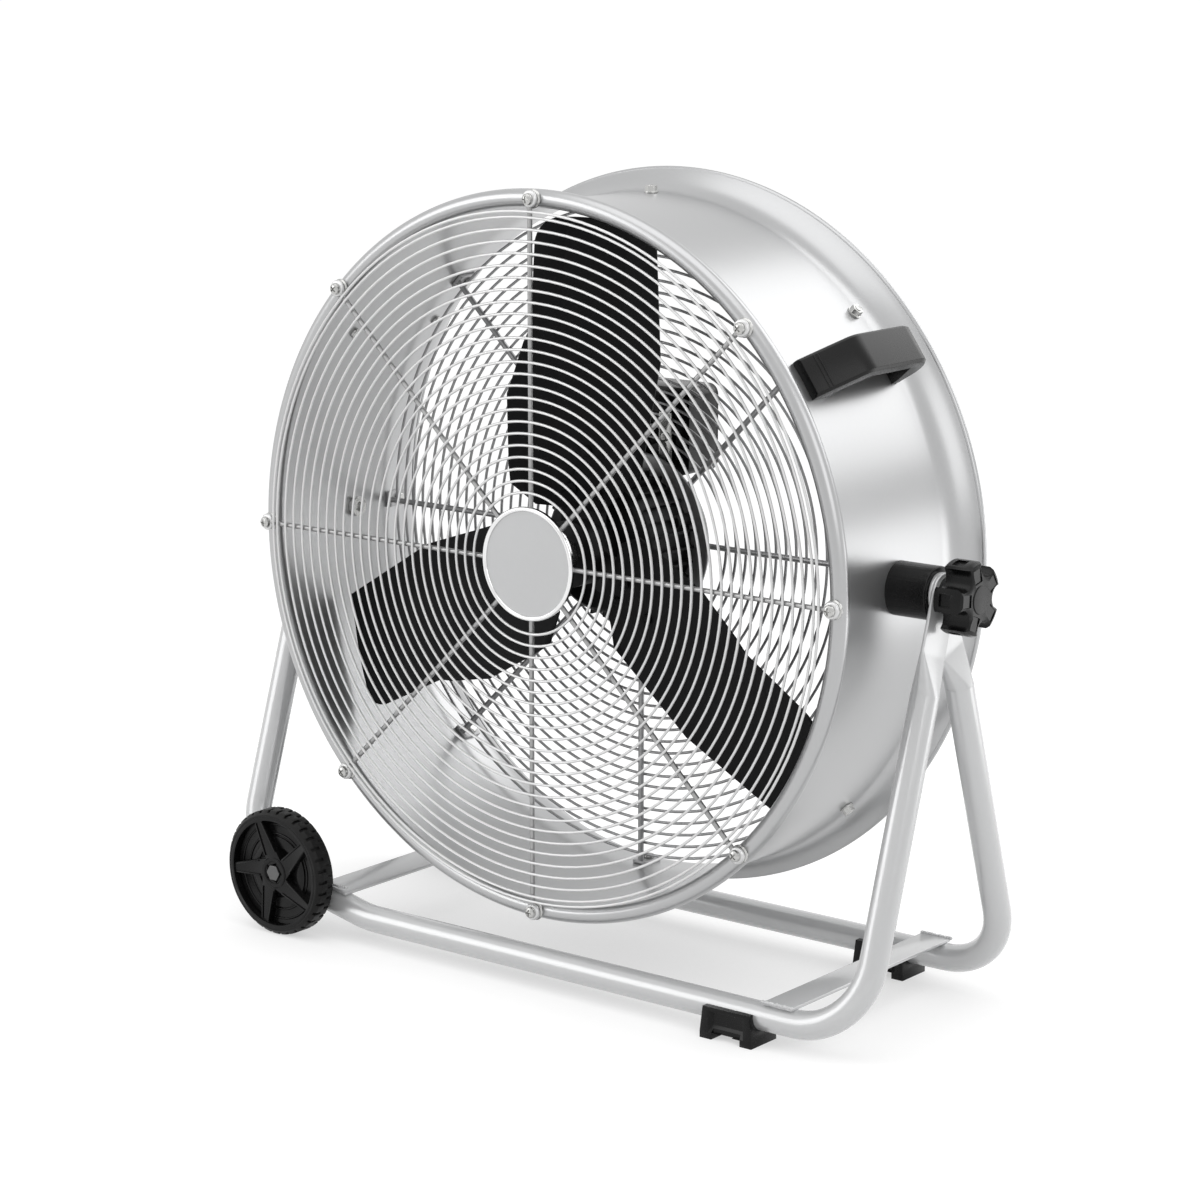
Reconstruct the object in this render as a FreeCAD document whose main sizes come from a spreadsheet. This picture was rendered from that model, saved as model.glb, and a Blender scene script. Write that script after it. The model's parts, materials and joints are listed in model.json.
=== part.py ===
"""Drum fan on a tubular A-frame: every piece of the fan as its own bound solid."""
import FreeCAD
import Part
import math
import os
import re

import Sketcher

V = FreeCAD.Vector
ORIGIN = V(0, 0, 0)
X_AXIS = V(1, 0, 0)
Y_AXIS = V(0, 1, 0)
Z_AXIS = V(0, 0, 1)
FULL_TURN = 360
HALF_TURN = 180
QUARTER_TURN = 90
HEX_SIDES = 6

# Driving sizes in millimetres and degrees; names ending in share or shares are ratios.
SIZES = {
    # general
    "floor_clearance": 52.5,
    "fit_gap": 0.05,
    "running_gap": 0.08,
    "seat_gap": 0.1,
    "cut_overrun": 2,
    "sink": 0.5,
    # drum: rolled front bead, plain wall, flared rear mouth
    "drum_bore": 311,
    "drum_wall": 1.5,
    "drum_half_depth": 107.5,
    "front_bead": 8,
    "rear_bead": 3,
    "flare_start": 66,
    "flare_rise": 18.75,
    "flare_arc": 42,
    "guard_fixings": 8,
    # front guard
    "ring_sides": 32,
    "ring_wire": 2.4,
    "spoke_wire": 4.5,
    "front_ring_inset": 2.5,
    "front_ring_step": 4.9,
    "front_ring_wide_step": 10.4,
    "front_ring_inner": 63.1,
    "front_ring_pitch": 10.46,
    "front_plate_radius": 42,
    "front_plate_thick": 2,
    "eyelet_radius": 7.5,
    "guard_washer_radius": 8.5,
    "guard_washer_thick": 2,
    "guard_washer_dome": 1.2,
    "guard_screw_radius": 2.5,
    "guard_screw_head": 5.2,
    "guard_screw_head_thick": 4.4,
    "guard_screw_length": 13,
    "badge_radius": 51,
    "badge_rim": 4.5,
    "badge_dish": 2,
    "badge_thick": 5,
    "badge_screw_radius": 2.5,
    "badge_screw_head": 5,
    # rear guard and its motor plate
    "rear_spoke_wire": 5.5,
    "rear_ring_inset": 9,
    "rear_ring_inner": 93,
    "rear_ring_pitch": 11,
    "motor_plate_radius": 79,
    "motor_plate_thick": 3,
    "motor_plate_front": 42.25,
    "motor_plate_bore": 40,
    "lug_width": 15,
    "lug_thick": 3,
    "lug_bolt_plane": 60,
    "lug_bolt_radius": 3,
    "lug_bolt_head": 5.2,
    "lug_bolt_head_thick": 3.6,
    "lug_nut_flange": 6.4,
    "lug_nut_flange_thick": 1.4,
    "lug_nut_hex": 5.6,
    "lug_nut_thick": 5.5,
    # motor
    "motor_radius": 60,
    "motor_wall": 4,
    "motor_front": 18,
    "motor_front_wall": 4,
    "motor_fin_radius": 66,
    "motor_fin_thick": 2.2,
    "motor_fin_count": 28,
    "motor_fin_inset": 6,
    "motor_boss_radius": 5.8,
    "motor_boss_circle": 62,
    "motor_boss_length": 22,
    "motor_bolt_radius": 2.5,
    "motor_bolt_head": 4.6,
    "motor_bolt_head_thick": 3.5,
    "motor_bolt_length": 18,
    "motor_bolt_turn": 22.5,
    "motor_bolt_count": 4,
    "rear_cover_radius": 54,
    "rear_cover_inner": 43,
    "rear_cover_wall": 3,
    "rear_cover_depth": 26,
    "cover_screw_circle": 49,
    "cover_screw_radius": 2,
    "cover_screw_head": 3.6,
    "cover_screw_head_thick": 2.6,
    "bearing_outer": 17.5,
    "bearing_width": 11,
    "bearing_seat_wall": 4,
    "shaft_radius": 7.5,
    "shaft_gap": 1,
    "shaft_front": 74,
    "shaft_rear": 67,
    "stator_inner": 35,
    "stator_length": 28,
    "air_gap": 0.6,
    "winding_length": 7,
    "winding_inner": 39,
    "winding_outer": 52,
    # rotor
    "blade_gap": 12,
    "blade_half_width": 62,
    "blade_sheet": 1.8,
    "blade_camber": 6,
    "blade_pitch": 14,
    "blade_plane": 41,
    "blade_first_angle": 86,
    "blade_count": 3,
    "blade_corner": 26,
    "hub_boss": 30,
    "hub_front": 60,
    "hub_rear": 21,
    "hub_arm_reach": 106,
    "hub_arm_start": 18,
    "hub_arm_width": 44,
    "hub_arm_thick": 4,
    "hub_arm_corner": 14.6,
    "rivet_radius": 3,
    "rivet_head": 5,
    "rivet_head_thick": 2,
    "rivet_inner": 56,
    "rivet_outer": 92,
    "rivet_offset": 12,
    "hub_nut_hex": 13,
    "hub_nut_thick": 10,
    # control box on the rear guard
    "box_width": 100,
    "box_height": 80,
    "box_depth": 41,
    "box_corner": 10,
    "box_wall": 3,
    "box_centre": 100,
    "lid_thick": 3,
    "lid_screw_inset": 9,
    "lid_screw_radius": 1.6,
    "lid_screw_head": 3,
    "lid_screw_head_thick": 2,
    "lid_post_radius": 4.5,
    "switch_width": 30,
    "switch_depth": 18,
    "capacitor_radius": 10.5,
    "capacitor_length": 50,
    "capacitor_drop": 26,
    "gland_radius": 9,
    "gland_thread": 6,
    "gland_bore": 4,
    "gland_length": 14,
    "lead_bush_radius": 6,
    "lead_bush_bore": 3.5,
    "clamp_width": 14,
    "clamp_height": 44,
    "clamp_thick": 2,
    "clamp_offset": 26,
    "clamp_drop": 5,
    "clamp_screw_radius": 2,
    "clamp_screw_head": 4,
    "clamp_screw_head_thick": 2.5,
    "clamp_screw_length": 9,
    "dial_radius": 15,
    "dial_thick": 13,
    "dial_grip": 7,
    "dial_grip_length": 25.5,
    "dial_grip_corner": 2.3,
    "dial_skirt": 4,
    "dial_stem": 4,
    "dial_stem_length": 12,
    "dial_turn": 60,
    # handles
    "handle_angle": 34.9,
    "handle_width": 36,
    "handle_chamfer": 2.4,
    "handle_front": 67,
    "handle_rear": 78,
    "handle_rear_base": 64,
    "handle_height": 41,
    "handle_grip": 12,
    "handle_heel": 8,
    "handle_shoulder": 27,
    "handle_corner": 22,
    "handle_bend": 25,
    "handle_front_foot": 23,
    "handle_rear_foot": 12,
    "handle_screw_radius": 2.5,
    "handle_screw_head": 5,
    "handle_screw_head_thick": 3,
    "handle_screw_length": 9,
    "handle_screw_inset": 10.5,
    "handle_screw_rear": 58,
    # tilt pivots and clamp knobs
    "pivot_bolt": 6,
    "pivot_head": 9.5,
    "pivot_head_thick": 6,
    "pivot_socket": 5,
    "pivot_socket_depth": 3.5,
    "pivot_tail": 21,
    "spacer_radius": 23.5,
    "clamp_washer_radius": 15,
    "clamp_washer_thick": 2,
    "knob_rise": 37,
    "knob_depth": 28,
    "knob_neck": 17,
    "knob_core": 22,
    "knob_core_step": 1.5,
    "knob_bevel": 3,
    "knob_reach": 32,
    "knob_lobes": 5,
    "knob_lobe_half": 10.2,
    "knob_lobe_corner": 5,
    "knob_window": 12,
    "knob_window_corner": 2,
    "knob_window_depth": 2,
    "knob_ring": 11,
    "knob_ring_width": 1.4,
    "knob_ring_depth": 1,
    "knob_turn": 49.6,
    "knob_bore_depth": 20,
    # stand tubes
    "tube_radius": 12.5,
    "tube_wall": 2,
    "tube_floor": 25.3,
    "tube_spread": 117,
    "leg_gap": 46,
    "leg_bend": 65,
    "kink_inset": 163,
    "kink_bend": 140,
    "kink_angle": 10.8,
    "plate_thick": 7,
    "plate_half_width": 25,
    "plate_drop": 44,
    "plate_blend": 32,
    # cross strips
    "strip_width": 30,
    "strip_thick": 3,
    "strip_overhang": 7,
    "foot_strip_inset": 79,
    "wheel_strip_inset": 121,
    # feet
    "foot_inset": 125,
    "foot_length": 54.5,
    "foot_top_length": 48,
    "foot_depth": 37,
    "foot_height": 29,
    "foot_window": 30,
    "foot_window_height": 20,
    "foot_window_depth": 2.6,
    "foot_notch": 14,
    "foot_notch_height": 6,
    "foot_screw_radius": 2.5,
    "foot_screw_head": 4.6,
    "foot_screw_head_thick": 3,
    "foot_screw_length": 14,
    "foot_screw_recess": 6,
    # wheels
    "wheel_inset": 73.7,
    "wheel_radius": 60,
    "wheel_width": 23,
    "wheel_face": 152.5,
    "tyre_inner": 54,
    "tyre_shoulder": 4,
    "tread_depth": 2.4,
    "tread_gap": 3,
    "tread_blocks": 34,
    "rim_inner": 50.5,
    "rim_web": 4,
    "rim_step": 25,
    "rim_ridge": 34,
    "rim_ridge_rise": 1.5,
    "rim_hub": 16,
    "rim_hub_drop": 6,
    "rim_spokes": 5,
    "rim_spoke_root": 13,
    "rim_spoke_tip": 9,
    "rim_spoke_rise": 7,
    "rim_spoke_turn": 40,
    "axle_radius": 5,
    "axle_head": 8,
    "axle_head_thick": 5.5,
    "axle_nut_thick": 7,
    "axle_tail": 3,
    "sleeve_radius": 8.5,
    "sleeve_overhang": 4,
}

# Sizes worked out from the driving ones, as formulas of the sheet.
DERIVED = {
    "pivot_height": "drum_bore + flare_rise + drum_wall / 2 + rear_bead + floor_clearance",
    "blade_tip": "drum_bore - blade_gap",
    "leg_offset": "drum_bore + leg_gap",
    "pivot_reach": "leg_offset + pivot_tail",
    "knob_face": "leg_offset + knob_rise",
    "kink_offset": "leg_offset - kink_inset",
    "foot_strip_centre": "leg_offset - foot_strip_inset",
    "wheel_strip_centre": "leg_offset - wheel_strip_inset",
    "foot_centre": "leg_offset - foot_inset",
    "wheel_centre": "leg_offset - wheel_inset",
}
NAMES = SIZES | DERIVED

# Blade outline as shares of the tip radius and of the half width, root first.
BLADE_LEADING_SHARES = ((0.13, -0.30), (0.20, -0.62), (0.245, -0.88), (0.60, -1.10), (1.03, -0.88))
BLADE_TRAILING_SHARES = ((1.03, 0.96), (0.66, 0.95), (0.61, 1.05), (0.50, 1.19), (0.45, 1.26),
                         (0.235, 1.18), (0.18, 1.14), (0.125, 0.74))
# Creases across the blade as shares of the half width, with the camber share at each.
BLADE_CREASE_SHARES = ((-1.45, 1.3), (-0.45, 0.0), (0.50, 0.0), (1.60, 1.25))

doc = FreeCAD.newDocument("drum_fan")
sheet = doc.addObject("Spreadsheet::Sheet", "Sizes")
for row, (alias, entry) in enumerate(NAMES.items(), 1):
    sheet.set(f"A{row}", alias)
    sheet.set(f"B{row}", f"={entry}")
    sheet.setAlias(f"B{row}", alias)
doc.recompute()

nodes = []


class Named:
    """Reads one size of the sheet by its name."""

    def __getattr__(self, name):
        return float(sheet.get(name))


s = Named()


def cell(text):
    """Expression text with every size name pointed at the sheet."""
    return re.sub(r"[a-z][a-z_]*", lambda m: f"Sizes.{m[0]}" if m[0] in NAMES else m[0], text)


def worth(text):
    """Present value of an expression of sizes."""
    return float(sheet.evalExpression(cell(text)))


def bind(obj, **sizes):
    """Bind properties to expressions of sizes; a double underscore stands for a dot."""
    for name, text in sizes.items():
        obj.setExpression(name.replace("__", "."), cell(text))
    return obj


def keep(obj):
    """Enter an object in the list of pieces that are written out."""
    nodes.append(obj)
    return obj


def new_body(label):
    """Empty body entered as a piece."""
    body = doc.addObject("PartDesign::Body", label)
    body.Label = label
    return keep(body)


def origin(body, role):
    """Origin plane or axis of a body by its role."""
    return next(f for f in body.Origin.OriginFeatures if f.Role == role)


def new_sketch(body, role, lift=None):
    """Sketch on an origin plane, lifted along the plane's normal by an expression."""
    sketch = body.newObject("Sketcher::SketchObject", f"{body.Name}_sketch")
    sketch.AttachmentSupport = [(origin(body, role), "")]
    sketch.MapMode = "FlatFace"
    if lift:
        bind(sketch, AttachmentOffset__Base__z=lift)
    return sketch


def pin(sketch, geometry, point, axis, text):
    """Tie one coordinate of a point to an expression of sizes."""
    value = worth(text)
    if value == 0:
        line = -2 if axis == "DistanceX" else -1
        sketch.addConstraint(Sketcher.Constraint("PointOnObject", geometry, point, line))
        return
    number = sketch.addConstraint(Sketcher.Constraint(axis, geometry, point, value))
    sketch.setExpression(f"Constraints[{number}]", cell(text))


def arc_between(start, end, radius, side, wide):
    """Arc from start to end; side +1 turns left, wide takes the longer way round."""
    chord = end - start
    middle = (start + end) * 0.5
    left = V(-chord.y, chord.x, 0).normalize()
    reach = math.sqrt(max(radius ** 2 - chord.Length ** 2 / 4, 0))
    centre = middle + left * (reach * side * (-1 if wide else 1))
    first, last = (start, end) if side > 0 else (end, start)
    angles = [math.atan2(p.y - centre.y, p.x - centre.x) for p in (first, last)]
    return Part.ArcOfCircle(Part.Circle(centre, Z_AXIS, radius), *angles)


def draw(sketch, outline):
    """Closed outline of bound corners: (x, y) or (x, y, radius, side, wide) for an arc to the next."""
    corners = [V(worth(c[0]), worth(c[1]), 0) for c in outline]
    ends = []
    for i, corner in enumerate(outline):
        start = corners[i]
        end = corners[(i + 1) % len(corners)]
        if len(corner) == 2:
            ends.append((sketch.addGeometry(Part.LineSegment(start, end), False), 1, 2))
            continue
        radius, side, wide = corner[2:]
        number = sketch.addGeometry(arc_between(start, end, worth(radius), side, wide), False)
        ends.append((number, 1, 2) if side > 0 else (number, 2, 1))
    for i, (number, _, tail) in enumerate(ends):
        following, head, _ = ends[(i + 1) % len(ends)]
        sketch.addConstraint(Sketcher.Constraint("Coincident", number, tail, following, head))
    for (number, head, _), corner in zip(ends, outline):
        pin(sketch, number, head, "DistanceX", corner[0])
        pin(sketch, number, head, "DistanceY", corner[1])
        if len(corner) > 2:
            rule = sketch.addConstraint(Sketcher.Constraint("Radius", number, worth(corner[2])))
            sketch.setExpression(f"Constraints[{rule}]", cell(corner[2]))


def ring(sketch, x, y, radius):
    """Bound circle in a sketch."""
    circle = Part.Circle(V(worth(x), worth(y), 0), Z_AXIS, worth(radius))
    number = sketch.addGeometry(circle, False)
    pin(sketch, number, 3, "DistanceX", x)
    pin(sketch, number, 3, "DistanceY", y)
    rule = sketch.addConstraint(Sketcher.Constraint("Radius", number, worth(radius)))
    sketch.setExpression(f"Constraints[{rule}]", cell(radius))


def oblong(width, height, corner, x="0", y="0"):
    """Rounded rectangle outline about a centre, as bound corners."""
    corner = f"({corner})"
    left, right = f"{x} - ({width}) / 2", f"{x} + ({width}) / 2"
    low, high = f"{y} - ({height}) / 2", f"{y} + ({height}) / 2"
    return [
        (f"{left} + {corner}", low), (f"{right} - {corner}", low, corner, 1, False),
        (right, f"{low} + {corner}"), (right, f"{high} - {corner}", corner, 1, False),
        (f"{right} - {corner}", high), (f"{left} + {corner}", high, corner, 1, False),
        (left, f"{high} - {corner}"), (left, f"{low} + {corner}", corner, 1, False),
    ]


def feature(body, kind, sketch, **sizes):
    """Sketch-based feature bound to expressions of sizes."""
    made = body.newObject(f"PartDesign::{kind}", f"{body.Name}_{kind.lower()}")
    made.Profile = sketch
    bind(made, **sizes)
    body.Tip = made
    return made


def through(body, sketch):
    """Cut right through the body both ways from the sketch."""
    cut = feature(body, "Pocket", sketch)
    cut.Type = "ThroughAll"
    cut.SideType = "Symmetric"
    return cut


def turn(body, outline):
    """Revolve a (radius, axial) outline about the body's own Z axis."""
    sketch = new_sketch(body, "XZ_Plane")
    draw(sketch, outline)
    made = body.newObject("PartDesign::Revolution", f"{body.Name}_turned")
    made.Profile = sketch
    made.ReferenceAxis = (sketch, ["V_Axis"])
    made.Angle = FULL_TURN
    body.Tip = made
    return made


def repeat(body, original, count, angle=FULL_TURN):
    """Polar pattern of a feature about the body's own Z axis."""
    doc.recompute()
    pattern = body.newObject("PartDesign::PolarPattern", f"{body.Name}_repeat")
    pattern.Originals = [original]
    pattern.Axis = (origin(body, "Z_Axis"), [""])
    pattern.Angle = angle
    bind(pattern, Occurrences=count)
    body.Tip = pattern
    return pattern


def solid(label, shape, placement):
    """Piece made from a finished shape, placed after its shape is set."""
    made = doc.addObject("Part::Feature", label)
    made.Label = label
    made.Shape = shape
    made.Placement = placement.multiply(shape.Placement)
    return keep(made)


def fan_place(angle=0):
    """Placement of a fan-axis piece: own Z points forward, own Y points up."""
    spin = FreeCAD.Rotation(Z_AXIS, angle)
    return FreeCAD.Placement(V(0, 0, s.pivot_height), FreeCAD.Rotation(X_AXIS, QUARTER_TURN) * spin)


def on_fan_axis(body):
    """Place a fan-axis body with its height bound to the pivot height."""
    body.Placement = fan_place()
    return bind(body, Placement__Base__z="pivot_height")


def side_place(side, angle=0):
    """Placement of a pivot piece: own Z points outward on the given side."""
    turned = FreeCAD.Rotation(Y_AXIS, QUARTER_TURN * side) * FreeCAD.Rotation(Z_AXIS, angle)
    return FreeCAD.Placement(V(0, 0, s.pivot_height), turned)


def rod(radius, low, high):
    """Cylinder about Z between two heights."""
    return Part.makeCylinder(radius, high - low, V(0, 0, low), Z_AXIS)


def hexagon(radius, low, high):
    """Six-sided prism about Z between two heights."""
    points = [V(radius * math.cos(a), radius * math.sin(a), low)
              for a in (math.radians(k * FULL_TURN / HEX_SIDES) for k in range(HEX_SIDES + 1))]
    return Part.Face(Part.makePolygon(points)).extrude(V(0, 0, high - low))


def screw(radius, length, head, head_thick):
    """Round-headed screw: head above the origin plane, shank below it."""
    top = rod(head, 0, head_thick)
    rim = [e for e in top.Edges if abs(e.CenterOfMass.z - head_thick) < s.fit_gap]
    return top.makeFillet(head_thick / 2, rim[:1]).fuse(rod(radius, -length, 0))


def moved(shape, place):
    """Copy of a shape carried by a placement."""
    copy = shape.copy()
    copy.Placement = place.multiply(copy.Placement)
    return copy


def around(shape, radius, height, count, first=0, turned=None):
    """Copies of a shape spaced evenly on a circle about Z."""
    copies = []
    for k in range(int(count)):
        spin = FreeCAD.Rotation(Z_AXIS, first + k * FULL_TURN / count)
        place = FreeCAD.Placement(spin.multVec(V(radius, 0, height)), spin * (turned or FreeCAD.Rotation()))
        copies.append(moved(shape, place))
    return copies


def hoop(radius, wire, flat, ridge):
    """Wire ring of straight sides: flat on one level, ridged on the other."""
    count = int(s.ring_sides)
    angles = [math.pi * (2 * k + 1) / count for k in range(count + 1)]
    section = ((radius - wire / 2, flat), (radius + wire / 2, flat), (radius, ridge))
    rails = [[V(r * math.cos(a), r * math.sin(a), z) for a in angles] for r, z in section]
    faces = []
    for near, far in zip(rails, rails[1:] + rails[:1]):
        for k in range(count):
            faces.append(Part.Face(Part.makePolygon([near[k], near[k + 1], far[k + 1], far[k], near[k]])))
    return Part.Solid(Part.Shell(faces))


def spaced(outer, inner, pitch):
    """Radii from outer to inner in equal steps close to a pitch."""
    steps = round((outer - inner) / pitch)
    return [outer - (outer - inner) * k / steps for k in range(steps + 1)]


def bar(start, end, width, low, high):
    """Straight bar along X between two heights."""
    return Part.makeBox(end - start, width, high - low, V(start, -width / 2, low))


# Drum shell: one revolved sheet with both rolled edges, then its holes.
drum = new_body("drum_shell")
bead_plane = "(drum_half_depth - front_bead)"
flare_end = "-(drum_half_depth - rear_bead - sqrt(rear_bead ^ 2 - drum_wall ^ 2 / 4))"
bead_meet = f"{bead_plane} - sqrt(front_bead ^ 2 - (front_bead - drum_wall) ^ 2)"
turn(drum, [
    ("drum_bore", bead_plane),
    ("drum_bore", "-flare_start", "flare_arc + drum_wall", 1, False),
    ("drum_bore + flare_rise", flare_end, "rear_bead", 1, True),
    ("drum_bore + flare_rise + drum_wall", flare_end, "flare_arc", -1, False),
    ("drum_bore + drum_wall", "-flare_start"),
    ("drum_bore + drum_wall", bead_meet, "front_bead", 1, True),
])
on_fan_axis(drum)
hole = new_sketch(drum, "YZ_Plane")
ring(hole, "0", "0", "pivot_bolt + fit_gap")
through(drum, hole)
lug_hole = new_sketch(drum, "YZ_Plane")
ring(lug_hole, "0", "-lug_bolt_plane", "lug_bolt_radius + fit_gap")
repeat(drum, through(drum, lug_hole), "guard_fixings / 2", HALF_TURN - HALF_TURN * 2 / s.guard_fixings)
bead_hole = new_sketch(drum, "XY_Plane", "drum_half_depth + cut_overrun")
ring(bead_hole, "drum_bore + front_bead", "0", "guard_screw_radius + fit_gap")
depth = "guard_screw_length + cut_overrun"
repeat(drum, feature(drum, "Pocket", bead_hole, Length=depth), "guard_fixings")
doc.recompute()

# Handle screws pass through the wall, so their holes are cut along the two handle directions.
handle_sides = ((s.handle_angle, 1), (HALF_TURN - s.handle_angle, -1))
handle_planes = ("(handle_front - handle_screw_inset)", "-handle_screw_rear")
for angle, ahead in handle_sides:
    for plane in handle_planes:
        wall_hole = new_sketch(drum, "YZ_Plane")
        wall_hole.AttachmentOffset = FreeCAD.Placement(ORIGIN, FreeCAD.Rotation(Y_AXIS, angle))
        ring(wall_hole, "0", f"{ahead} * {plane}", "handle_screw_radius + fit_gap")
        cut = feature(drum, "Pocket", wall_hole, Length="drum_bore + flare_rise")
        cut.Reversed = True
        doc.recompute()

# Front guard: polygon rings welded across eight spokes with eyelets and a middle plate.
guard_back = s.drum_half_depth + s.guard_washer_thick
spoke_front = guard_back + s.spoke_wire
screw_circle = s.drum_bore + s.front_bead
front_outer = s.drum_bore - s.front_ring_inset
front_second = front_outer - s.front_ring_step
front_radii = [front_outer, front_second]
front_radii += spaced(front_second - s.front_ring_wide_step, s.front_ring_inner, s.front_ring_pitch)
ring_back = spoke_front - s.sink
rings = [hoop(r, s.ring_wire, ring_back, ring_back + s.ring_wire) for r in front_radii]
spoke = bar(s.front_plate_radius - s.spoke_wire, screw_circle, s.spoke_wire, guard_back, spoke_front)
eyelet = rod(s.eyelet_radius, guard_back, spoke_front)
star = around(spoke, 0, 0, s.guard_fixings) + around(eyelet, screw_circle, 0, s.guard_fixings)
plate = rod(s.front_plate_radius, spoke_front - s.front_plate_thick, spoke_front)
front_guard = plate.multiFuse(star).multiFuse(rings)
eyelet_hole = rod(s.guard_screw_radius + s.fit_gap, guard_back - s.cut_overrun, spoke_front + s.cut_overrun)
badge_hole = rod(s.badge_screw_radius + s.fit_gap, guard_back, spoke_front + s.cut_overrun)
front_guard = front_guard.cut(around(eyelet_hole, screw_circle, 0, s.guard_fixings) + [badge_hole])
solid("front_guard", front_guard, fan_place())

washer = rod(s.guard_washer_radius, s.drum_half_depth, guard_back)
rim = [e for e in washer.Edges if abs(e.CenterOfMass.z - guard_back) < s.fit_gap]
washer = washer.makeChamfer(s.guard_washer_dome, rim[:1])
washer = washer.cut(rod(s.guard_screw_radius + s.fit_gap, 0, guard_back + s.cut_overrun))
washers = around(washer, screw_circle, 0, s.guard_fixings)
solid("guard_washers", Part.makeCompound(washers), fan_place())
guard_screw = screw(s.guard_screw_radius, s.guard_screw_length, s.guard_screw_head, s.guard_screw_head_thick)
guard_screws = around(guard_screw, screw_circle, spoke_front, s.guard_fixings)
solid("guard_screws", Part.makeCompound(guard_screws), fan_place())

# Bare badge disc with a raised rim, held by one screw from behind.
badge = new_body("guard_badge")
badge_back = "(drum_half_depth + guard_washer_thick + spoke_wire)"
turn(badge, [
    ("0", badge_back),
    ("badge_radius", badge_back),
    ("badge_radius", f"{badge_back} + badge_thick - badge_dish"),
    ("badge_radius - badge_dish", f"{badge_back} + badge_thick"),
    ("badge_radius - badge_rim", f"{badge_back} + badge_thick"),
    ("badge_radius - badge_rim - badge_dish", f"{badge_back} + badge_thick - badge_dish"),
    ("0", f"{badge_back} + badge_thick - badge_dish"),
])
on_fan_axis(badge)
pilot = new_sketch(badge, "XY_Plane", badge_back)
ring(pilot, "0", "0", "badge_screw_radius + fit_gap")
feature(badge, "Pocket", pilot, Length="badge_dish").Reversed = True
badge_bolt = screw(s.badge_screw_radius, s.badge_dish + s.front_plate_thick - s.sink,
                   s.badge_screw_head, s.spoke_wire / 2)
down = FreeCAD.Rotation(X_AXIS, HALF_TURN)
badge_place = FreeCAD.Placement(V(0, 0, spoke_front - s.front_plate_thick), down)
solid("badge_screw", moved(badge_bolt, badge_place), fan_place())

# Rear guard: motor plate, spokes and rings, with lugs at the spoke ends that bolt through the drum wall.
plate_front = -s.motor_plate_front
plate_back = plate_front - s.motor_plate_thick
rear_spoke_front = plate_back + s.sink
rear_spoke_back = rear_spoke_front - s.rear_spoke_wire
rear_ring_back = rear_spoke_back + s.sink - s.ring_wire
lug_outer = s.drum_bore - s.seat_gap * 3
rear_radii = spaced(s.drum_bore - s.rear_ring_inset, s.rear_ring_inner, s.rear_ring_pitch)
rings = [hoop(r, s.ring_wire, rear_ring_back, rear_ring_back + s.ring_wire) for r in rear_radii]
spoke_end = lug_outer - s.lug_thick - s.fit_gap
spoke = bar(s.rear_cover_radius + s.rear_spoke_wire, spoke_end, s.rear_spoke_wire,
            rear_spoke_back, rear_spoke_front)
star = around(spoke, 0, 0, s.guard_fixings)
lug_back = -(s.lug_bolt_plane + s.lug_width / 2)
lug = bar(lug_outer - s.lug_thick, lug_outer, s.lug_width, lug_back, rear_spoke_front)
lug_drill = moved(rod(s.lug_bolt_radius + s.fit_gap, lug_outer / 2, s.drum_bore + s.cut_overrun),
                  FreeCAD.Placement(V(0, 0, -s.lug_bolt_plane), FreeCAD.Rotation(Y_AXIS, QUARTER_TURN)))
lugs = around(lug.cut(lug_drill), 0, 0, s.guard_fixings)
solid("guard_lugs", Part.makeCompound(lugs), fan_place())
rear_guard = rod(s.motor_plate_radius, plate_back, plate_front).multiFuse(star).multiFuse(rings)
drills = [rod(s.motor_plate_bore, plate_back - s.cut_overrun, plate_front + s.cut_overrun)]
motor_drill = rod(s.motor_bolt_radius + s.fit_gap, plate_back - s.cut_overrun, plate_front + s.cut_overrun)
drills += around(motor_drill, s.motor_boss_circle, 0, s.motor_bolt_count, s.motor_bolt_turn)
cover_drill = rod(s.cover_screw_radius + s.fit_gap, plate_back - s.cut_overrun, plate_front + s.cut_overrun)
drills += around(cover_drill, s.cover_screw_circle, 0, s.motor_bolt_count, s.motor_bolt_turn)
solid("rear_guard", rear_guard.cut(drills), fan_place())

outward = FreeCAD.Rotation(Y_AXIS, QUARTER_TURN)
inward = FreeCAD.Rotation(Y_AXIS, -QUARTER_TURN)
nut_seat = s.drum_bore + s.drum_wall + s.seat_gap
lug_grip = nut_seat + s.lug_nut_flange_thick + s.lug_nut_thick - (lug_outer - s.lug_thick)
lug_bolt = screw(s.lug_bolt_radius, lug_grip, s.lug_bolt_head, s.lug_bolt_head_thick)
lug_bolts = around(lug_bolt, lug_outer - s.lug_thick, -s.lug_bolt_plane, s.guard_fixings, 0, inward)
solid("lug_bolts", Part.makeCompound(lug_bolts), fan_place())
lug_nut = rod(s.lug_nut_flange, 0, s.lug_nut_flange_thick)
lug_nut = lug_nut.fuse(hexagon(s.lug_nut_hex, 0, s.lug_nut_flange_thick + s.lug_nut_thick - s.sink))
lug_nut = lug_nut.cut(rod(s.lug_bolt_radius + s.fit_gap, -s.cut_overrun, lug_grip))
lug_nuts = around(lug_nut, nut_seat, -s.lug_bolt_plane, s.guard_fixings, 0, outward)
solid("lug_nuts", Part.makeCompound(lug_nuts), fan_place())

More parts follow.
